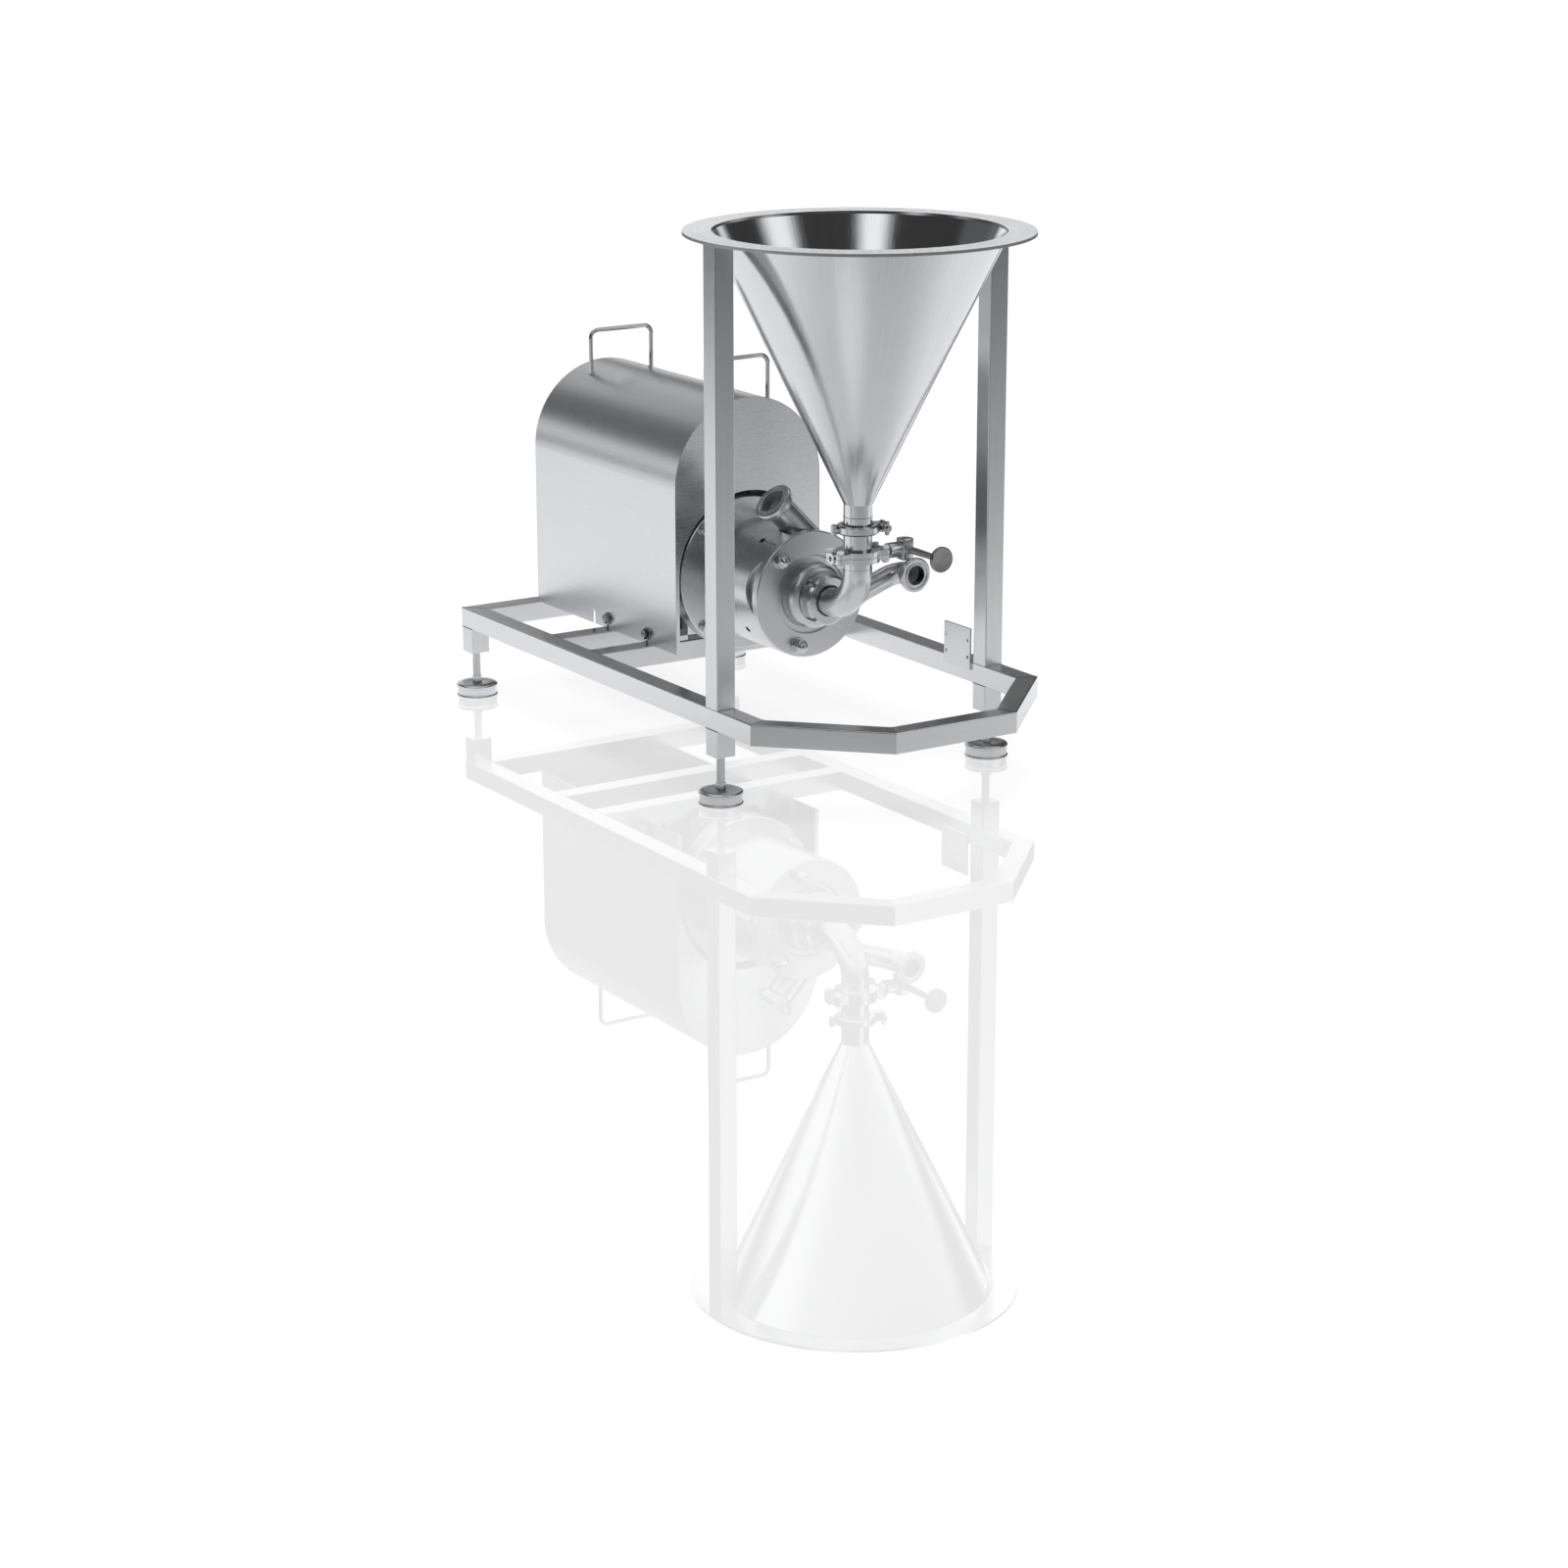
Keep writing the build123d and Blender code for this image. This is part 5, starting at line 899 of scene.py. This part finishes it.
OUTLET_FOOT = Vector(around_drive(CASING_RADIUS - PIPE_RADIUS, math.degrees(OUTLET_TURN), OUTLET_Y))
OUTLET_RUN = Vector((-math.sin(OUTLET_TURN), 0, math.cos(OUTLET_TURN)))
OUTLET_OUT = Vector((math.cos(OUTLET_TURN), 0, math.sin(OUTLET_TURN)))
OUTLET_FACE = OUTLET_FOOT + OUTLET_RUN * OUTLET_LENGTH
BACK_DOWN = (0, math.radians(180) - OUTLET_TURN, 0)


def collar_point(angle):
    """A point of the line along which the outlet meets the casing's rim."""
    across, deep = polar(PIPE_RADIUS, angle)
    inward = CASING_RADIUS - PIPE_RADIUS + across
    rise = math.sqrt(max(CASING_RADIUS ** 2 - inward ** 2, 0.0))
    return OUTLET_FOOT + OUTLET_OUT * across + Vector((0, deep, 0)) + OUTLET_RUN * rise


dress(turned_steel("cover_steel", DRIVE, TO_FRONT, light=0.69, dark=0.62, shine=0.34, edge=0.0010),
      "pump_cover")
dress(turned_steel("casing_steel", DRIVE, TO_FRONT, light=0.68, dark=0.62, shine=0.30,
                   bore=(OUTLET_FACE, BACK_DOWN, OUTLET_BORE, -0.002, 0.110)), "pump_casing")
dome = [(0, 0.0155), (DOME_RADIUS, 0.0155)]
for lift in range(0, 91, 10):
    reach, rise = polar(DOME_RADIUS, math.radians(lift))
    dome.append((reach, DOME_FOOT + rise))
cap_nut = merged(washer(0.016, 0.0085, 0, 0.003), hex_head(0.024, 0.003, 0.013), lathe(dome, sides=36))
cap_spots = drive_spots(STUD_RADIUS, STUD_ANGLES, COVER_FACE)
put("cover_cap_nuts", fixings(cap_nut, cap_spots, FIXING_STEEL, 11),
    "machine", "fastener_steel", "cover_nuts")
outlet = lathe(end_profile(OUTLET_BORE, PIPE_RADIUS, 0.039, 0.0360, 0.016), sides=80, ease=0.0005)
outlet = placed(outlet, OUTLET_FACE, BACK_DOWN)
outlet_steel = turned_steel("outlet_steel", OUTLET_FACE, BACK_DOWN, light=0.72, dark=0.62, shine=0.28)
outlet.materials.append(outlet_steel)
put("outlet_ring", outlet, "machine", "pump_steel", "outlet_end")
outlet_seams = [ring_of(collar_point, 72),
                circle(PIPE_RADIUS, OUTLET_FACE - OUTLET_RUN * OUTLET_SEAM, BACK_DOWN)]
weld("outlet_weld", outlet_seams, WELD_STEEL, (0.0009, 0.0024, 0.12), "machine", "pump_steel")

# Shaft, seal and impeller
# The open impeller is cast and ground, and runs on a stub shaft clamped over the motor's. A ceramic ring
# turns against a fixed ceramic seat, and that pair seals the casing.
def plain_skin(name, tones, matt, spread, grain, depth, edge=0.0004, **constants):
    """A plain skin over a fine even grain. Wear moves its (dark, light) tones and spreads its gloss."""
    finish = Finish(name, edge, **constants)
    wear = finish.wear()
    fine = finish.noise(finish.local(), (grain, grain, grain), 2.0)
    return finish.surface(wear, tones, wear * spread + matt, fine, depth)


dress(plain_skin("seal_ceramic", (0.255, 0.30), 0.18, 0.12, 900, 0.00002, 0.0002, Coat_Weight=0.3),
      "shaft_seal_seat", "shaft_seal_ring")
dress(cast_steel("impeller_steel", light=0.62, dark=0.46, shine=0.22), "impeller")
dress(turned_steel("shaft_steel", DRIVE, TO_FRONT, light=0.58, dark=0.46, shine=0.18),
      "pump_shaft", "motor_rotor", "motor_bearings")

# Lantern between pump and motor
# A drum turned from a casting, bolted to the motor's flange by four hexagon bolts. Four socket screws in
# its wall grip the casing, and a saw cut by one of them lets the wall close on it.
FLANGE_FACE = 0.05275
BOLT_CIRCLE = 0.1355
BOLT_ANGLES = (45, 135, 225, 315)
dress(turned_steel("lantern_steel", DRIVE, TO_FRONT, light=0.67, dark=0.61, shine=0.28, edge=0.0008,
                   depth=0.00002), "pump_lantern")
# The set screws are blackened, and made darker still as painted shade for the shadow in their holes.
dress(plain_skin("set_screw_steel", (0.0048, 0.0112), 0.30, 0.2, 800, 0.00004), "casing_set_screws")
flange_bolt = merged(washer(0.014, 0.006, 0, 0.0025), hex_head(0.019, 0.0025, 0.008),
                     shank(0.006, -0.036, 0.003))
bolt_spots = drive_spots(BOLT_CIRCLE, BOLT_ANGLES, FLANGE_FACE)
put("flange_hex_bolts", fixings(flange_bolt, bolt_spots, FIXING_STEEL, 17),
    "machine", "fastener_steel", "flange_bolts")

# Motor
# A flanged and footed cast-iron motor with cooling ribs, painted grey. Its terminal box has a lid on four
# screws and a cable gland, and its fan turns under a pressed steel cover.
LID_REACH = 0.048
BOX_Y = 0.18675
BOX_TOP = 0.509
GLAND_PLACE = (0.059, BOX_Y, 0.475)
FOOT_TOP = DECK + 0.024
FOOT_BOLT_X = 0.108
FOOT_BOLT_STATIONS = (0.30175, 0.16175)


def enamel(name, level):
    """Grey stoving enamel over a sand casting, with the mould's skin just showing through."""
    finish = Finish(name, 0.0006, Metallic=0.0)
    cast = finish.noise(finish.local(), (240, 240, 240), 4.0)
    wear = finish.wear()
    return finish.surface(wear * 0.6 + cast * 0.4, (level * 0.85, level * 1.08),
                          cast * 0.16 + wear * 0.10 + 0.30, cast, 0.0003)


dress(turned_steel("flange_steel", DRIVE, TO_FRONT, light=0.70, dark=0.60, shine=0.36), "motor_flange")
dress(enamel("motor_enamel", 0.20), "motor_housing", "terminal_box")
dress(enamel("fan_cover_enamel", 0.18), "motor_fan_cover")
lid_screw = lathe([(0, 0), (0.0042, 0), (0.0042, 0.0016), (0.0030, 0.0026), (0, 0.0028)],
                  sides=24, ease=0.0004)
lid_spots = [((x, BOX_Y + y, BOX_TOP), (0, 0, 1))
             for x in (-LID_REACH, LID_REACH) for y in (-LID_REACH, LID_REACH)]
put("terminal_box_screws", fixings(lid_screw, lid_spots, FIXING_STEEL, 19), "machine", "fastener_steel")
gland_cap = lathe([(0, 0.007), (0.0105, 0.007), (0.0105, 0.018), (0.0075, 0.022), (0.0055, 0.022),
                   (0.0055, 0.012), (0, 0.012)], sides=36, ease=0.0006)
gland = placed(merged(hex_head(0.024, 0, 0.007), gland_cap), GLAND_PLACE, ALONG_X)
gland.materials.append(rubber("gland_plastic", 0.03))
put("cable_gland", gland, "machine", "fan_plastic")
black_steel = plain_skin("blackened_steel", (0.03, 0.07), 0.30, 0.2, 800, 0.00004, Metallic=0.6)
foot_bolt = merged(hex_head(0.017, 0, 0.007), shank(0.005, -0.029, 0.001))
foot_spots = [((x, y, FOOT_TOP), (0, 0, 1)) for x in (-FOOT_BOLT_X, FOOT_BOLT_X) for y in FOOT_BOLT_STATIONS]
put("motor_foot_hex_bolts", fixings(foot_bolt, foot_spots, black_steel, 23),
    "machine", "black_steel", "motor_foot_bolts")
dress(plain_skin("fan_plastic", (0.025, 0.045), 0.36, 0.18, 600, 0.00005), "motor_fan")

# Shroud over the motor
# A sheet of ground stainless bent into a half-round top over straight sides, with a back and an arched
# front panel welded in. It lifts off by two bent-rod handles and slips over four side bolts.
ROOF = DECK + 0.321
SHROUD_HALF = 0.164
SHROUD_FRONT = 0.0477
SHROUD_FOOT = DECK + 0.002
HANDLE_STATIONS = (0.52175, 0.08675)
HANDLE_X = 0.070
ROD_RADIUS = 0.00425
ROD_WELD_RADIUS = ROD_RADIUS + 0.0006
SIDE_BOLT_X = 0.1642
SIDE_BOLT_Z = DECK + 0.020


def handle_ring(foot, station):
    """The line along which a handle's rod meets the roof."""
    def point_at(angle):
        across, along = polar(ROD_WELD_RADIUS, angle)
        x = foot + across
        return Vector((x, station + along, ROOF + math.sqrt(SHROUD_HALF ** 2 - x * x)))

    return ring_of(point_at, 32)


dress(ground_steel("shroud_steel", "y", light=0.77, dark=0.65, shine=0.30, end_run="x", edge=0.0005),
      "motor_shroud")
dress(ground_steel("shroud_front_steel", "x", light=0.81, dark=0.65, shine=0.28, edge=0.0006),
      "shroud_front_panel")
dress(ground_steel("shroud_bracket_steel", "y", edge=0.0006), "shroud_brackets")
dress(polished_steel("handle_steel", "z", light=0.62, dark=0.50, shine=0.16, edge=0.0), "shroud_handles")
handle_rings = [handle_ring(foot, station) for station in HANDLE_STATIONS for foot in (-HANDLE_X, HANDLE_X)]
weld("handle_welds", handle_rings, WELD_STEEL, (0.0012, 0.0022, 0.12), "shroud", "handle_steel")
corner_line = [(SHROUD_HALF, SHROUD_FRONT, SHROUD_FOOT)]
for turn in range(0, 181, 3):
    across, rise = polar(SHROUD_HALF, math.radians(turn))
    corner_line.append((across, SHROUD_FRONT, ROOF + rise))
corner_line.append((-SHROUD_HALF, SHROUD_FRONT, SHROUD_FOOT))
weld("shroud_edge_seam", [corner_line], WELD_STEEL, (0.0004, 0.003, 0.1), "shroud", "shroud_steel")
side_bolt = merged(washer(0.0125, 0.005, 0, 0.0025), hex_head(0.017, 0.0025, 0.007),
                   shank(0.005, -0.0195, 0.003))
side_spots = [((side * SIDE_BOLT_X, station, SIDE_BOLT_Z), (side, 0, 0))
              for side in SIDES.values() for station in CROSSBAR_STATIONS]
side_bolt_steel = polished_steel("side_bolt_steel", light=0.38, dark=0.24, shine=0.2)
put("shroud_side_bolts", fixings(side_bolt, side_spots, side_bolt_steel, 29),
    "machine", "fastener_steel", "shroud_bolts")

# Studio
# A white floor with a faint mirror share, inside a plain surround of soft white panels. Metal sees the
# panels and a floor that is darker on the camera's side; the camera itself sees plain white.
FRONT_REACH = 6
FRONT_SHADES = (
    (0.0, 1.05), (0.13, 1.0), (0.19, 0.86), (0.24, 0.66), (0.32, 0.56), (0.45, 0.48), (0.60, 0.38))
MIRROR_SHARE = 0.30
SHADOW_SHARE = 0.12
FLOOR_REACH = 30.0
# Each panel is centre, half width, softness, lowest and highest edge in degrees, then strength.
PANELS = [
    (-35, 27, 4, -6, 11, 0.80),
    (13, 14, 3, -6, 18, 1.15),
    (28, 11, 3, -6, 10, 1.15),
    (8, 18, 6, 14, 36, 0.62),
    (-25, 22, 6, 8, 40, 0.13),
    (72, 8, 4, 0, 13, 0.95),
    (158, 16, 6, 5, 28, 0.75),
    (136, 14, 9, 22, 46, 1.25),
    (-132, 14, 9, 28, 50, 1.30),
]
SURROUND = bpy.data.worlds.new("studio")
bpy.context.scene.world = SURROUND
SURROUND.use_nodes = True


def studio_light():
    """The surround: plain white to the camera, and soft panels in a grey room to everything else."""
    sky = Tree(SURROUND.node_tree)
    shader = sky.tree.nodes["Background"]
    east, north, up = sky.parts(sky.node("ShaderNodeTexCoord", output="Generated"))
    bearing = east.math("ARCTAN2", east, north)
    level = sky.eased(up, 0.76, 0.86) * 0.80 + 0.05
    for centre, half, soft, low, high, strength in PANELS:
        away = bearing.math("WRAP", bearing - math.radians(centre), math.pi, -math.pi)
        away = away.math("ABSOLUTE", away)
        across = sky.eased(away, math.radians(half - soft), math.radians(half + soft), 1.0, 0.0)
        low, high = math.sin(math.radians(low)), math.sin(math.radians(high))
        tall = sky.eased(up, low - 0.03, low + 0.03) * sky.eased(up, high - 0.035, high + 0.035, 1.0, 0.0)
        level = level.math("MAXIMUM", level, across * tall * strength)
    path = sky.node("ShaderNodeLightPath", output="Is Camera Ray").socket.node
    plain = path.outputs["Is Camera Ray"], path.outputs["Is Singular Ray"]
    white = Flow(plain[0]).math("MAXIMUM", Flow(plain[0]), Flow(plain[1]))
    seen = level * (1 - white) + white
    plug(shader.inputs["Color"], sky.vector(seen, seen, seen))


studio_light()


def white_floor():
    """The floor: white with a faint mirror share to the camera, and shades of grey to the metal, with a
    painted shadow near the machine and a painted pool of light.
    """
    finish = Finish("white_floor", Base_Color=(0.9, 0.9, 0.9, 1), Roughness=0.9)
    x, y = finish.parts(finish.local())[:2]
    ahead = y * -1.0 - x * 0.2
    front = finish.node("ShaderNodeValToRGB", {"stops": FRONT_SHADES}, {0: ahead / FRONT_REACH})
    away = (x * x + y * y) ** 0.5
    far = finish.eased(away, 3.2, 6.8, 1.05, 0.32)
    # Painted shadow of the machine on the floor the metal sees, darkest under and before the hopper, then a
    # painted pool of light ahead of its left side.
    painted_machine_shadow = finish.eased(((x + 0.25) ** 2 + (y + 0.75) ** 2) ** 0.5, 0.45, 1.4, 0.74, 1.0)
    painted_light_pool = finish.eased(((x + 0.5) ** 2 + (y + 0.85) ** 2) ** 0.5, 0.08, 0.32, 1.3, 1.0)
    horizon = finish.eased(away, 6.6, 8.2, 1.0, 0.12)
    level = front.math("MINIMUM", front, far) * painted_machine_shadow * painted_light_pool * horizon
    shades = finish.vector(level, level, level)
    sheen = finish.node("ShaderNodeEmission", {}, {"Color": shades, "Strength": 1.0})
    white = finish.node("ShaderNodeEmission", {}, {"Color": (1, 1, 1, 1), "Strength": 1.0})
    mirror = finish.node("ShaderNodeBsdfGlossy", {}, {"Color": (1, 1, 1, 1), "Roughness": 0.0})
    shadow = Flow(finish.shader.outputs[0])
    seen = finish.node("ShaderNodeMixShader", {}, {0: MIRROR_SHARE, 1: white, 2: mirror})
    seen = finish.node("ShaderNodeMixShader", {}, {0: SHADOW_SHARE, 1: seen, 2: shadow})
    camera_ray = finish.node("ShaderNodeLightPath", output="Is Camera Ray")
    mixed = finish.node("ShaderNodeMixShader", {}, {0: camera_ray, 1: sheen, 2: seen})
    plug(finish.tree.nodes["Material Output"].inputs[0], mixed)
    return finish.material


floor_mesh = bpy.data.meshes.new("floor")
corners = [(x * FLOOR_REACH, y * FLOOR_REACH, 0) for x, y in ((-1, -1), (1, -1), (1, 1), (-1, 1))]
floor_mesh.from_pydata(corners, [], [(0, 1, 2, 3)])
floor_mesh.materials.append(white_floor())
floor = add_object("floor", floor_mesh)

top_light = bpy.data.lights.new("top_light", "SUN")
top_light.angle = math.radians(60)
top_light.energy = 3.8
lamp = add_object("top_light", top_light)
lamp.location = (0, 0, 4)
lamp.rotation_euler = (math.radians(14), math.radians(-10), 0)
lamp.visible_glossy = False
lamp.visible_camera = False

# Camera
# It stands ahead of the machine's left side, a little above the hopper, and looks down by 16 degrees.
CAMERA_PLACE = Vector((-3.6879, -5.7505, 1.8869))
CAMERA_TURN = math.radians(33.033)
CAMERA_DIP = math.radians(16.148)
camera_data = bpy.data.cameras.new("camera")
camera_data.sensor_width = 36.0
camera_data.lens = 83.52
camera_data.clip_end = 100
camera = add_object("camera", camera_data)
camera.location = CAMERA_PLACE
camera.rotation_euler = (math.radians(90) - CAMERA_DIP, 0, -CAMERA_TURN)
bpy.context.scene.camera = camera
bpy.context.scene.view_settings.view_transform = "Standard"
